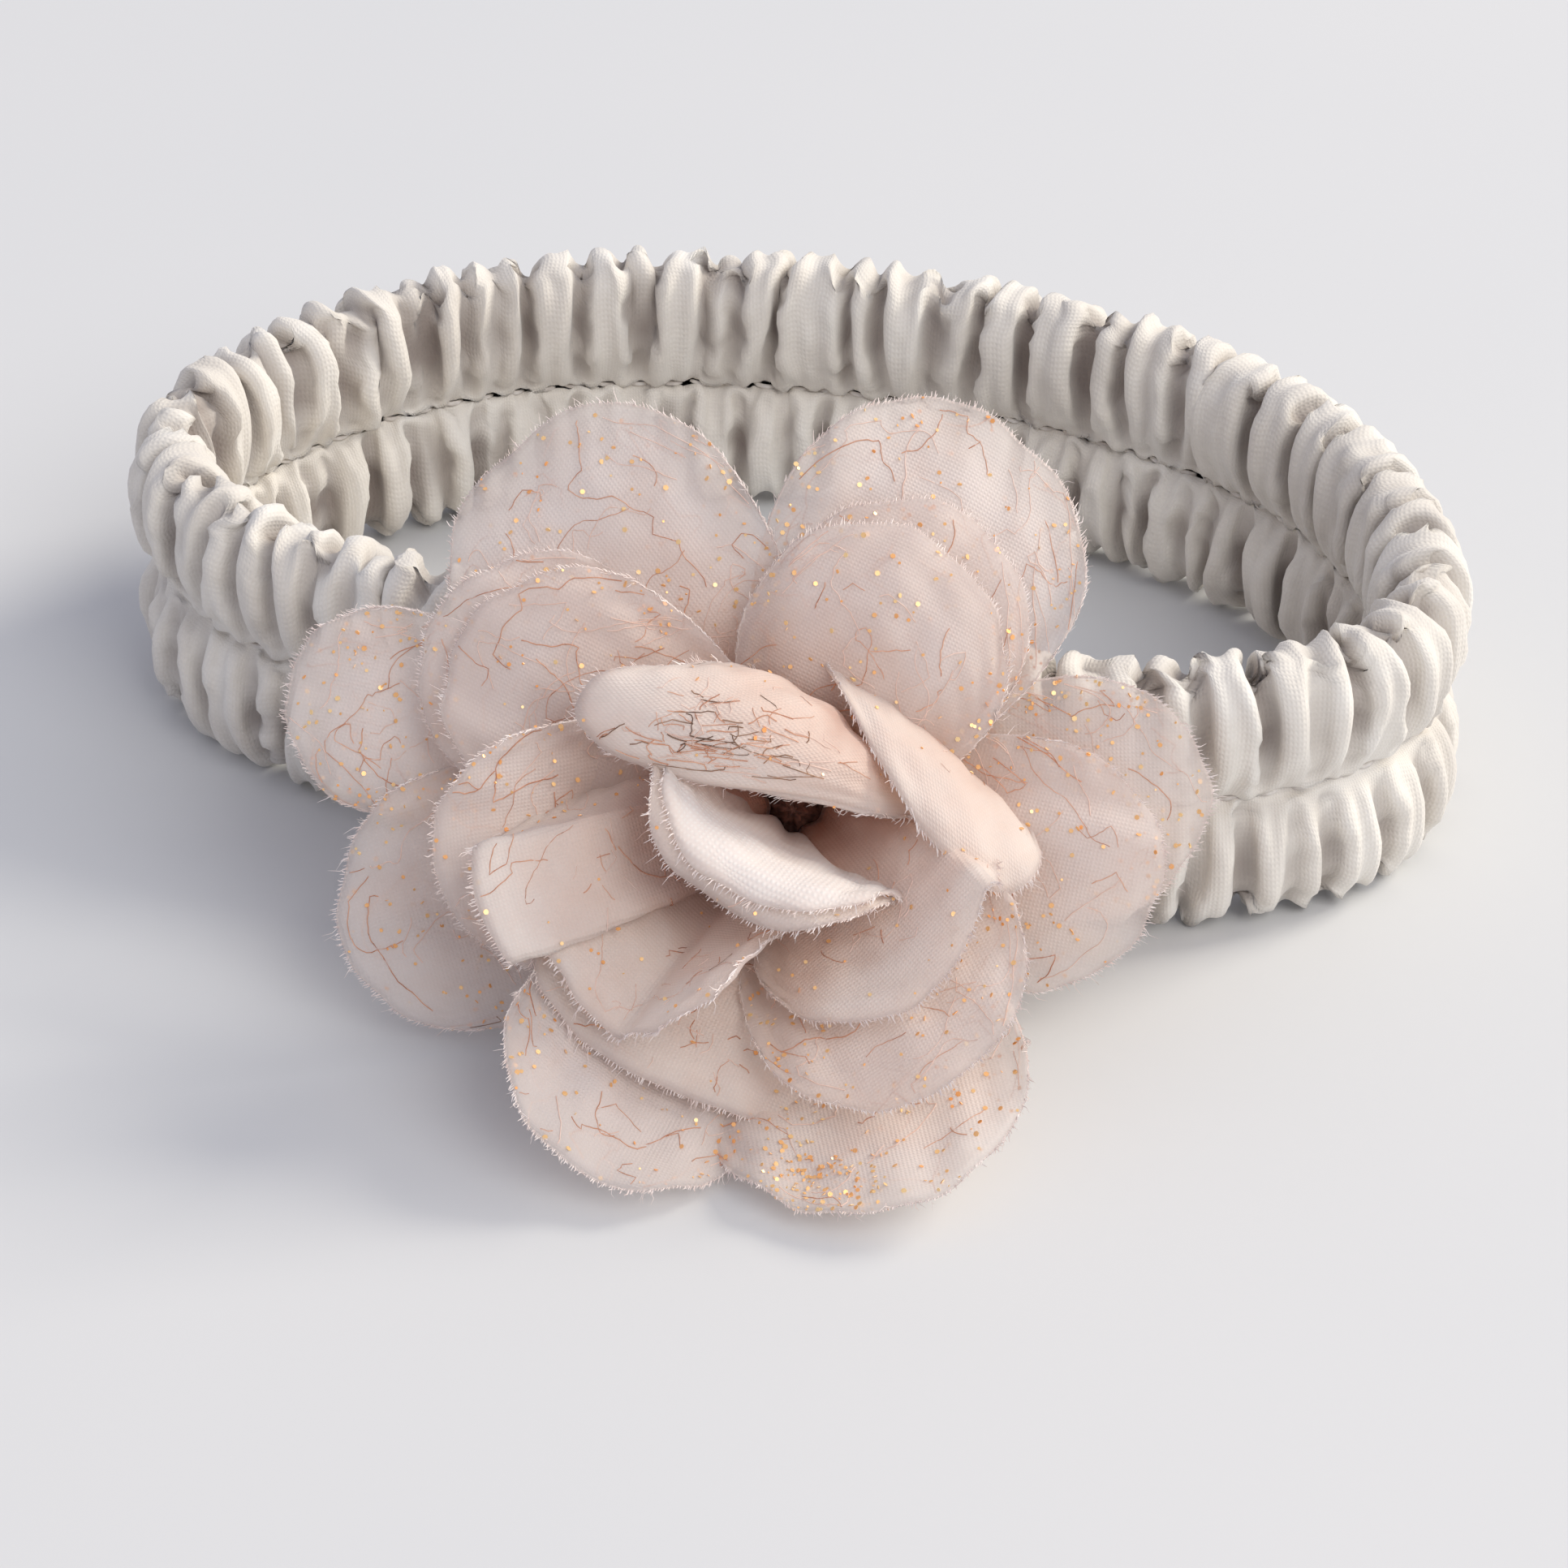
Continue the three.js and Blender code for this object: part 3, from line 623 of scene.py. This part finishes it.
def tack_stitch(name, side):
    """A loop of doubled thread through felt and band, with rounded corners and a twist."""
    proud, corner, corner_steps = 0.65, 0.8, 6
    spacing, twists, apart, thickness = 0.35, 14, 0.17, 0.19
    outer, inner = FELT_FRONT + proud, -(PUFF_HALF + proud)
    half = TACK_SPAN / 2
    centres = ((outer - corner, half - corner), (inner + corner, half - corner),
               (inner + corner, corner - half), (outer - corner, corner - half))
    path = []
    for first, (centre_out, centre_up) in enumerate(centres):
        for step in range(corner_steps + 1):
            angle = (first + step / corner_steps) * np.pi / 2
            path.append((centre_out + corner * math.cos(angle), centre_up + corner * math.sin(angle)))
    path = np.array(path)
    dense = []
    for a, b in zip(path, np.roll(path, -1, 0)):
        pieces = max(1, int(np.linalg.norm(b - a) / spacing))
        dense += [a + (b - a) * k / pieces for k in range(pieces)]
    dense = np.array(dense)
    turn = np.arange(len(dense)) * 2 * np.pi * twists / len(dense)
    parts = []
    for strand in (0, np.pi):
        along = side * TACK_SPACING / 2 + apart * np.cos(turn + strand)
        wobble = 0.1 * np.sin(turn + strand)
        centre = dense.mean(0)
        away = (dense - centre) / np.linalg.norm(dense - centre, axis=1, keepdims=True)
        spot = dense + away * wobble[:, None]
        parts.append(tube(on_front(along, spot[:, 1], spot[:, 0]), thickness, 7, closed=True))
    points, faces, _ = joined(parts)
    return add_mesh(name, points, faces, [THREAD])


def rides(piece, slot, *nodes):
    """The piece moves with the front of the band, and stands for these nodes."""
    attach(piece, "front")
    if nodes:
        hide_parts(*nodes)
    return piece


felt = rides(felt_disc(), "felt", "felt_disc")
rides(tack_stitch("left_tack_loop", -1), "thread", "left_tack_stitch")
rides(tack_stitch("right_tack_loop", 1), "thread", "right_tack_stitch")

# Flower frame: origin in the middle of the felt's front, axis tilted up from the front
AXIS = np.array([0, -math.cos(FLOWER_TILT), math.sin(FLOWER_TILT)])
RIGHT = np.array([1.0, 0, 0])
FLOWER = np.stack([RIGHT, np.cross(AXIS, RIGHT), AXIS])
HEART = on_front(0.0, 0.0, FELT_FRONT)


def in_flower(points):
    return np.asarray(points) @ FLOWER + HEART


def bound_core():
    """The petals' gathered roots, pleated lengthwise and wound with thread."""
    sides, steps, foot, winding = 72, 44, 1.4, 1.1
    turn = np.arange(sides) * 2 * np.pi / sides
    rings = []
    for step in range(steps):
        share = step / (steps - 1)
        height = -foot + (CORE_LENGTH + foot) * share
        radius = np.interp(height, [-foot, 0.3 * CORE_LENGTH, 0.55 * CORE_LENGTH, CORE_LENGTH],
                           [CORE_BASE, CORE_BASE, CORE_TOP, CORE_TOP / 8])
        pleats = (1 + 0.06 * np.sin(18 * turn + 2 * share)
                  + (0.04 + 0.3 * share ** 6) * np.sin(7 * turn - 3 * share))
        wound = 1 - 0.03 * (0.5 + 0.5 * math.cos(2 * math.pi * height / winding))
        spread = radius * pleats * wound
        rings.append(np.stack([spread * np.cos(turn), spread * np.sin(turn), np.full(sides, height)], -1))
    points = in_flower(np.concatenate(rings))
    ahead = (points - FRONT) @ OUT
    points += np.maximum(0, FELT_FRONT + 0.05 - ahead)[:, None] * OUT
    return add_mesh("bound_core", points, ring_faces(steps, sides), [BOUND_SHADE])


rides(bound_core(), "chiffon", "stitched_core")

# Petals: azimuth, rise in per cent of the core, length and half width in per cent of the blank, start and
# end slope, cup; then what differs from SHAPE. The outer petals, and the middle ones but for the sixth,
# are as in the part's own source; the sixth and the inner ones were shaped here alone.
PETALS = {
    "outer_petal_1": (127, 14, 83, 26.8, 48, -34, -8, {}),
    "outer_petal_2": (62, 20, 78, 27.6, 46, -34, -8, {}),
    "outer_petal_3": (166.5, 25, 87, 18, 18, -4, 8, {}),
    "outer_petal_4": (196, 17, 79, 23, 16, 10, 10, {}),
    "outer_petal_5": (238, 23, 85, 24, 28, 56, 12, {}),
    "outer_petal_6": (285, 17, 88, 28, 30, 63, 6, {}),
    "outer_petal_7": (2, 23, 70, 21, 26, 4, 0, {}),
    "middle_petal_1": (152, 35, 69, 22, 34, -6, -16, {}),
    "middle_petal_2": (152, 51, 65, 22, 44, -16, -20, {}),
    "middle_petal_3": (60, 42, 59, 23, 48, -22, -20, {}),
    "middle_petal_4": (63, 55, 54.8, 24, 58, -26, -28, {}),
    "middle_petal_5": (-13, 37, 64, 22, 36, 2, -14, {}),
    "middle_petal_6": (188, 35, 66, 22, 34, 26, 34, {"ruffle": 0.4}),
    "middle_petal_7": (-60, 37, 68, 25, 54, 40, 10, {}),
    "inner_petal_1": (50, 66, 63, 22, 14, 222, 46, {"lean": 64, "round": 1.5, "ruffle": 0.4}),
    "inner_petal_2": (50, 28, 55, 24, -6, 165, 6, {"lean": -58, "ruffle": 0.4}),
    "inner_petal_3": (-46, 62, 51, 24, 58, 44, 16, {"creases": ((0.7, -62),)}),
    "inner_petal_4": (195, 66, 62, 24, 50, 20, 16, {"ruffle": 0.3, "creases": ((0.45, -118), (-0.4, -100))}),
    "inner_petal_5": (238, 72, 40, 24, 84, -34, 24, {"lean": -14, "round": 0.7, "late": 5, "ruffle": 0.3}),
    "inner_petal_6": (230, 48, 56, 23, 46, 34, 16, {"round": 0.35, "ruffle": 0.4, "creases": ((0.02, 62),)}),
    "inner_petal_7": (241, 44, 58, 27, 42, 32, 0, {"round": 0.4, "ruffle": 0.4}),
}
# Lean, depth of the rounded end as a share of the half width, how late the slope turns, ruffle and root
# pleats in millimetres, and creases as the turn they run along and their bend
SHAPE = {"lean": 0, "round": 1, "late": 1, "ruffle": 0.9, "pleat": 0.3, "creases": ()}
CREASE_WIDTH, CRUMPLE = 1.2, 0.15
# Row and turn that a petal's fibres gather round, on its back, and that its flakes gather round
GLEAM = {"inner_petal_1": (0.77, -0.1)}
DRIFT = {"outer_petal_6": (0.9, -0.45)}
# Thread ends along the edge: their spacing and length in millimetres, and loose hairs; fibres and flakes
FIBRES = {
    "outer": {"spacing": 0.26, "reach": 0.38, "hairs": 90, "fibres": 70, "flakes": 240},
    "middle": {"spacing": 0.26, "reach": 0.38, "hairs": 80, "fibres": 54, "flakes": 150},
    "inner": {"spacing": 0.3, "reach": 0.55, "hairs": 90, "fibres": 40, "flakes": 50},
}
# How many times the usual flakes these petals have
SPARKLE = {"outer_petal_6": 2.4, "outer_petal_7": 1.6, "outer_petal_3": 1.6, "middle_petal_7": 1.5}
# Second plies of net: millimetres behind the petal, in front where less than 0, and share of its length
NETS = {"inner_petal_5": (-0.5, 0.93), "inner_petal_7": (0.7, 0.94)}
# A petal's turn at its sides, and its steps of row and turn from which a normal is found
SIDE_TURN, NORMAL_STEP = 1.5708, 0.004


class Petal:
    """One petal's surface: row runs from root to rim, turn from one side to the other."""

    def __init__(self, name, seed):
        azimuth, rise, length, half, start, end, cup, shape = PETALS[name]
        shape = {**SHAPE, **shape}
        self.length, self.half = PETAL_BLANK * length / 100, PETAL_BLANK * half / 100
        self.rise = CORE_LENGTH * rise / 100
        self.azimuth, self.cup = math.radians(azimuth), math.radians(cup)
        self.lean, self.rounded = math.radians(shape["lean"]), shape["round"]
        self.ruffle, self.pleat, self.creases = shape["ruffle"], shape["pleat"], shape["creases"]
        self.cloth = CREPE if name.startswith("inner") else CHIFFON
        self.gleam, self.drift = GLEAM.get(name), DRIFT.get(name)
        self.rng = np.random.default_rng(seed)
        self.phases = self.rng.uniform(0, 2 * np.pi, 8)
        self.shares = np.linspace(0, 1.1, 111)
        self.slopes = math.radians(start) + math.radians(end - start) * self.shares ** shape["late"]
        step = self.length * (self.shares[1] - self.shares[0])
        middle = (self.slopes[1:] + self.slopes[:-1]) / 2
        self.spine_out = np.concatenate([[0], np.cumsum(np.cos(middle) * step)])
        self.spine_up = np.concatenate([[0], np.cumsum(np.sin(middle) * step)])

    def flat(self, row, turn):
        """The place on the flat cut: across and along, in millimetres."""
        p = self.phases
        uneven = (0.3 * np.sin(3.2 * turn + p[5]) + 0.22 * np.sin(6.5 * turn + p[6])
                  + 0.12 * np.sin(13 * turn + p[7]))
        end = self.length - self.half * self.rounded * (1 - np.cos(turn))
        reach = row * (end + self.ruffle * uneven * row)
        width = ROOT_SHARE + (1 - ROOT_SHARE) * np.sin(row * np.pi / 2)
        return self.half * width * np.sin(turn), reach

    def smooth(self, row, turn):
        """The petal bent along its spine, cupped and creased, without its small waves."""
        across, reach = self.flat(row, turn)
        share = reach / self.length
        slope = np.interp(share, self.shares, self.slopes)
        grow = np.sin(np.pi / 2 * np.minimum(1, 1.2 * share))
        curve = self.cup / self.half * grow
        curve = np.where(np.abs(curve) < 1e-6, 1e-6, curve)
        wide = np.sin(curve * across) / curve
        lift = (1 - np.cos(curve * across)) / curve
        for at, bend in self.creases:
            line = self.flat(row, np.full_like(turn, at))[0]
            from_wide, from_lift = np.sin(curve * line) / curve, (1 - np.cos(curve * line)) / curve
            past = np.clip((across - line) * np.sign(at) / CREASE_WIDTH, 0, 1)
            angle = math.radians(bend) * np.sign(at) * grow * past
            c, s = np.cos(angle), np.sin(angle)
            wide, lift = wide - from_wide, lift - from_lift
            wide, lift = from_wide + c * wide - s * lift, from_lift + s * wide + c * lift
        out = CORE_TOP + np.interp(share, self.shares, self.spine_out) - lift * np.sin(slope)
        up = self.rise + np.interp(share, self.shares, self.spine_up) + lift * np.cos(slope)
        side = wide + self.length * self.lean * share ** 2 / 2
        c, s = math.cos(self.azimuth), math.sin(self.azimuth)
        return np.stack([c * out - s * side, s * out + c * side, up], -1)

    def normals(self, surface, row, turn):
        low, high = np.clip(row - NORMAL_STEP, 0, 1), np.clip(row + NORMAL_STEP, 0, 1)
        left = np.clip(turn - NORMAL_STEP, -SIDE_TURN, SIDE_TURN)
        right = np.clip(turn + NORMAL_STEP, -SIDE_TURN, SIDE_TURN)
        along = surface(high, turn) - surface(low, turn)
        across = surface(row, right) - surface(row, left)
        normal = np.cross(along, across)
        return normal / (np.linalg.norm(normal, axis=-1, keepdims=True) + 1e-12)

    def surface(self, row, turn):
        """The petal with its ruffle, root pleats and crumple."""
        p = self.phases
        waves = (0.5 * np.sin(2.6 * turn + p[0]) + 0.3 * np.sin(4.7 * turn + p[1])
                 + 0.22 * np.sin(8.3 * turn + p[2] + 2 * row) + 0.12 * np.sin(14 * turn + p[3] - 3 * row))
        pleats = self.pleat * np.sin(9 * turn + p[4]) * np.exp(-(row / 0.6) ** 2)
        crumple = (np.sin(30 * row + 6 * turn + p[6]) * np.sin(9 * turn - 14 * row + p[2])
                   + 0.5 * np.sin(41 * row - 10 * turn + p[5]))
        lift = self.ruffle * waves * row ** 1.6 + pleats + CRUMPLE * crumple * row
        return self.smooth(row, turn) + self.normals(self.smooth, row, turn) * lift[..., None]

    def ply(self, row, turn, behind):
        """The surface of a ply that lies behind the petal's own, further towards the rim."""
        normal = self.normals(self.surface, row, turn)
        return self.surface(row, turn) - normal * (behind * (0.5 + row))[..., None], normal


def petal_mesh(name, petal, cloth, behind=0.0, past=1.0):
    """The petal as a thin closed ply, with its distance from the cut edge and from the root."""
    rows, columns = 34, 44
    row = np.linspace(0, past, rows)[:, None] + np.zeros((1, columns))
    turn = np.linspace(-np.pi / 2, np.pi / 2, columns)[None] + np.zeros((rows, 1))
    middle, normal = petal.ply(row, turn, behind)
    faces_apart = normal * PLY / 2
    points = np.concatenate([(middle + faces_apart).reshape(-1, 3), (middle - faces_apart).reshape(-1, 3)])
    quads = grid_quads(rows, columns)
    count = rows * columns
    rim = ([c for c in range(columns)] + [r * columns + columns - 1 for r in range(1, rows)]
           + [(rows - 1) * columns + c for c in range(columns - 2, -1, -1)]
           + [r * columns for r in range(rows - 2, 0, -1)])
    edge_faces = [[rim[i], rim[(i + 1) % len(rim)], rim[(i + 1) % len(rim)] + count, rim[i] + count]
                  for i in range(len(rim))]
    faces = [list(q[::-1]) for q in quads] + [list(q + count) for q in quads] + edge_faces
    across, along = petal.flat(row, turn)
    flat = np.stack([across, along], -1).reshape(-1, 2)
    flat = np.concatenate([flat, flat])
    loop_uv = flat[np.concatenate([np.array(f) for f in faces])]
    # Distance from the cut edge, which both makes the edge see-through and paints a highlight along the rim
    edge = np.minimum((past - row) * petal.length, petal.half * (1 - np.abs(np.sin(turn))) * 1.2)
    # How near the root a point lies, which the cloth's colour turns into painted shade
    root = np.clip(1 - row, 0, 1) ** 1.25 if cloth is CREPE else np.clip(1 - row * 1.15, 0, 1) ** 1.3
    values = {"edge_mm": np.tile(edge.ravel(), 2), "root": np.tile(root.ravel(), 2)}
    obj = add_mesh(name, in_flower(points), faces, [cloth], loop_uv, values)
    outline = np.stack([across, along], -1).reshape(-1, 2)[rim]
    ahead = np.roll(outline, -1, 0)
    area = abs(float((outline[:, 0] * ahead[:, 1] - outline[:, 1] * ahead[:, 0]).sum())) / 2
    return obj, area * 1e-6


def bristles(foot, tip, bend, thick):
    """Points and faces of many short threads at once, each bent in the middle and thinning to its tip."""
    path = np.stack([foot, (foot + tip) / 2 + bend, tip], 1)
    ahead = tip - foot
    side = np.cross(ahead, ASKEW)
    side /= np.linalg.norm(side, axis=1, keepdims=True) + 1e-9
    other = np.cross(ahead, side)
    other /= np.linalg.norm(other, axis=1, keepdims=True) + 1e-9
    turn = np.arange(3) * 2 * np.pi / 3
    around = (side[:, None, None] * np.cos(turn)[None, None, :, None]
              + other[:, None, None] * np.sin(turn)[None, None, :, None])
    radius = thick[:, None] * np.array([1.0, 0.85, 0.35])
    points = path[:, :, None] + around * radius[:, :, None, None]
    one = [[i, (i + 1) % 3, (i + 1) % 3 + 3, i + 3] for i in range(3)]
    one += [[i + 3, (i + 1) % 3 + 3, (i + 1) % 3 + 6, i + 6] for i in range(3)]
    starts = 9 * np.arange(len(foot))[:, None, None]
    faces = (np.array(one)[None] + starts).reshape(-1, 4).tolist()
    faces += (np.array([[2, 1, 0], [6, 7, 8]])[None] + starts).reshape(-1, 3).tolist()
    return points.reshape(-1, 3), faces


def fray(petal, spacing, reach, hairs, behind=0.0, past=1.0):
    """Cut thread ends all along the edge, with some loose hairs among them."""
    rng = petal.rng
    last, side_points, end_points = 1.57, 120, 360
    sides = np.linspace(0.4, 1, side_points)
    ends = np.linspace(-last, last, end_points)
    row = np.concatenate([sides, np.ones(end_points), sides[::-1]])
    turn = np.concatenate([np.full(side_points, -last), ends, np.full(side_points, last)])
    run = np.concatenate([[0], np.cumsum(np.linalg.norm(np.diff(petal.surface(row, turn), axis=0), axis=1))])
    count = int(run[-1] / spacing)
    spots = (np.arange(count) + rng.uniform(0.1, 0.9, count)) * run[-1] / count
    spots = np.concatenate([spots, rng.uniform(0, run[-1], hairs)])
    row, turn = np.interp(spots, run, row) * past, np.interp(spots, run, turn)
    foot = petal.ply(row, turn, behind)[0]
    inside = petal.ply(np.clip(row - 0.03, 0, 1), turn * 0.985, behind)[0]
    away = foot - inside
    away /= np.linalg.norm(away, axis=1, keepdims=True) + 1e-9
    away += rng.normal(0, 1, away.shape) * np.where(np.arange(len(spots)) < count, 0.2, 0.5)[:, None]
    away /= np.linalg.norm(away, axis=1, keepdims=True)
    long = np.concatenate([rng.gamma(5.0, reach / 5, count).clip(0.12, 0.9),
                           rng.gamma(3.0, 0.25, hairs).clip(0.3, 1.6)])
    thick = np.concatenate([rng.uniform(0.05, 0.085, count), rng.uniform(0.025, 0.04, hairs)])
    bend = rng.normal(0, 0.14, foot.shape) * long[:, None]
    return bristles(foot - away * 0.2, foot + away * long[:, None], bend, thick)


def glitter_paths(petal, count):
    """Fibres that wander over the petal's face, with sudden turns, and short ends in a cluster."""
    rng = petal.rng
    stride = 0.42
    paths = []
    heart = petal.gleam or (rng.uniform(0.5, 0.8), rng.uniform(-0.6, 0.6))
    for number in range(count):
        short = petal.cloth is CREPE and number % 4 or petal.gleam
        row, turn = rng.uniform(0.3, 0.97), rng.uniform(-1.3, 1.3)
        if short:
            row = np.clip(rng.normal(heart[0], 0.09), 0.3, 0.97)
            turn = np.clip(rng.normal(heart[1], 0.3), -1.3, 1.3)
        heading = rng.uniform(0, 2 * np.pi)
        steps = int(rng.integers(4, 8)) if short else int(rng.gamma(2.4, 6.0)) + 5
        rows, turns = [], []
        for _ in range(steps):
            rows.append(row)
            turns.append(turn)
            heading += rng.normal(0, 0.2) + (rng.uniform(-1.7, 1.7) if rng.uniform() < 0.14 else 0)
            span = petal.length - petal.half * petal.rounded * (1 - math.cos(turn))
            width = petal.half * (ROOT_SHARE + (1 - ROOT_SHARE) * math.sin(row * math.pi / 2))
            row = row + stride * math.sin(heading) / span
            turn = turn + stride * math.cos(heading) / max(width * math.cos(turn), 1.5)
            if not (0.2 < row < 0.99 and abs(turn) < 1.45):
                break
        if len(rows) > 3:
            paths.append((np.array(rows), np.array(turns)))
    return paths


def glitter(petal, fibres, flakes):
    """Metal-wrapped fibres on the petal's faces, and small bright flakes."""
    rng = petal.rng
    groups = {"copper": [], "veiled": [], "dark": [], "flake": []}
    shares = [0.45, 0.3, 0.25] if petal.gleam else [0.44, 0.55, 0.01]
    for rows, turns in glitter_paths(petal, fibres):
        face = -1 if petal.gleam or rng.uniform() > 0.62 else 1
        normal = petal.normals(petal.surface, rows, turns)
        path = petal.surface(rows, turns) + face * normal * (PLY / 2 + 0.02)
        path = path + rng.normal(0, 0.02, path.shape)
        kind = rng.choice(["copper", "veiled", "dark"], p=shares)
        groups[kind].append(tube(path, rng.uniform(0.03, 0.055), 4))
    row, turn = rng.uniform(0.35, 0.995, flakes), rng.uniform(-1.45, 1.45, flakes)
    if petal.drift:
        gathered = np.arange(flakes) < flakes // 3
        row = np.where(gathered, np.clip(rng.normal(petal.drift[0], 0.06, flakes), 0.35, 0.995), row)
        turn = np.where(gathered, np.clip(rng.normal(petal.drift[1], 0.2, flakes), -1.45, 1.45), turn)
    spots = petal.surface(row, turn)
    normal = petal.normals(petal.surface, row, turn)
    for spot, up in zip(spots, normal):
        face = 1 if rng.uniform() < 0.65 else -1
        tilt = up * face + rng.normal(0, 0.5, 3)
        tilt /= np.linalg.norm(tilt)
        centre = spot + face * up * (PLY / 2 + 0.08)
        groups["flake"].append(tube([centre - tilt * 0.02, centre + tilt * 0.02], rng.uniform(0.09, 0.26), 6))
    return groups


def petal_fibres(name, petal, spacing, reach, hairs, fibres, flakes):
    """All that is spun on one petal, as one piece: frayed edges, fibres and flakes."""
    groups = glitter(petal, 3 * fibres if petal.gleam else fibres, flakes)
    edges = [fray(petal, spacing, reach, hairs)]
    if name in NETS:
        edges.append(fray(petal, spacing, reach, hairs, *NETS[name]))
    ordered = [(edges, 0), (groups["copper"], 1), (groups["veiled"], 2),
               (groups["dark"], 3), (groups["flake"], 4)]
    parts = [part for group, _ in ordered for part in group]
    kinds = [kind for group, kind in ordered for _ in group]
    points, faces, numbers = joined(parts)
    points = in_flower(points)
    points[:, 2] = np.maximum(points[:, 2], TABLE)
    return add_mesh(name + "_fibres", points, faces, [FRAY, COPPER, VEILED, DARK, FLAKE],
                    slots=[kinds[n] for n in numbers], smooth=False)


FIRST_SEED = 100
for number, petal_name in enumerate(PETALS):
    petal = Petal(petal_name, FIRST_SEED + number)
    cloth, cut_area = petal_mesh(petal_name + "_cloth", petal, petal.cloth)
    rides(cloth, "chiffon", petal_name)
    spun = dict(FIBRES[petal_name.split("_")[0]])
    spun["flakes"] = int(spun["flakes"] * SPARKLE.get(petal_name, 1))
    fibre = petal_fibres(petal_name, petal, **spun)
    rides(fibre, "chiffon")
    if petal_name in NETS:
        behind, past = NETS[petal_name]
        net, net_area = petal_mesh(petal_name + "_net", petal, NET, behind, past)
        rides(net, "chiffon")


# Stage, light and camera

FLOOR_HALF, FLOOR_HEIGHT = 4, -0.0002


def stage_floor():
    """A plain pale sheet, just below what rests on it."""
    corners = [(x * FLOOR_HALF, y * FLOOR_HALF, FLOOR_HEIGHT)
               for x, y in ((-1, -1), (1, -1), (1, 1), (-1, 1))]
    mesh = bpy.data.meshes.new("floor")
    mesh.from_pydata(corners, [], [(0, 1, 2, 3)])
    floor = bpy.data.objects.new("floor", mesh)
    bpy.context.scene.collection.objects.link(floor)
    nodes = Nodes("floor_paper")
    cloud = nodes.noise(nodes.place(), Scale=6.0, Detail=2.0)
    shader = nodes.add("ShaderNodeBsdfPrincipled", Roughness=0.7)
    shader.inputs["Specular IOR Level"].default_value = 0.15
    nodes.link(nodes.ramp(cloud, [(0.3, linear(213, 214, 214)), (0.7, linear(217, 217, 216))]),
               shader.inputs["Base Color"])
    mesh.materials.append(nodes.finish(shader.outputs[0]))


def area_light(name, place, target, size, power, colour):
    light = bpy.data.lights.new(name, "AREA")
    light.shape = "DISK"
    light.size = size
    light.energy = power
    light.color = colour
    lamp = bpy.data.objects.new(name, light)
    lamp.location = place
    lamp.rotation_euler = (Vector(target) - Vector(place)).to_track_quat("-Z", "Y").to_euler()
    bpy.context.scene.collection.objects.link(lamp)


LIT_SPOT = (0, 0, 0.01)
stage_floor()
area_light("key", (2.47, 1.05, 1.79), LIT_SPOT, size=1.36, power=78.0, colour=(1.0, 0.945, 0.84))
area_light("fill", (1.5, -1.8, 2.1), LIT_SPOT, size=2.1, power=40.0, colour=(1.0, 0.98, 0.94))

world = bpy.data.worlds.new("studio")
bpy.context.scene.world = world
world.use_nodes = True
sky = world.node_tree.nodes["Background"]
sky.inputs["Color"].default_value = (0.83, 0.85, 1.0, 1)
sky.inputs["Strength"].default_value = 0.59

camera = bpy.data.cameras.new("camera")
camera.sensor_width = 36
camera.lens = 109.6
eye = bpy.data.objects.new("camera", camera)
bpy.context.scene.collection.objects.link(eye)
target = Vector((-0.00018, -0.01297, 0.0115))
eye.location = (-0.00018, -0.36946, 0.25195)
eye.rotation_euler = (target - eye.location).to_track_quat("-Z", "Y").to_euler()
camera.clip_start = 0.01
bpy.context.scene.camera = eye

bpy.context.scene.view_settings.view_transform = "Standard"
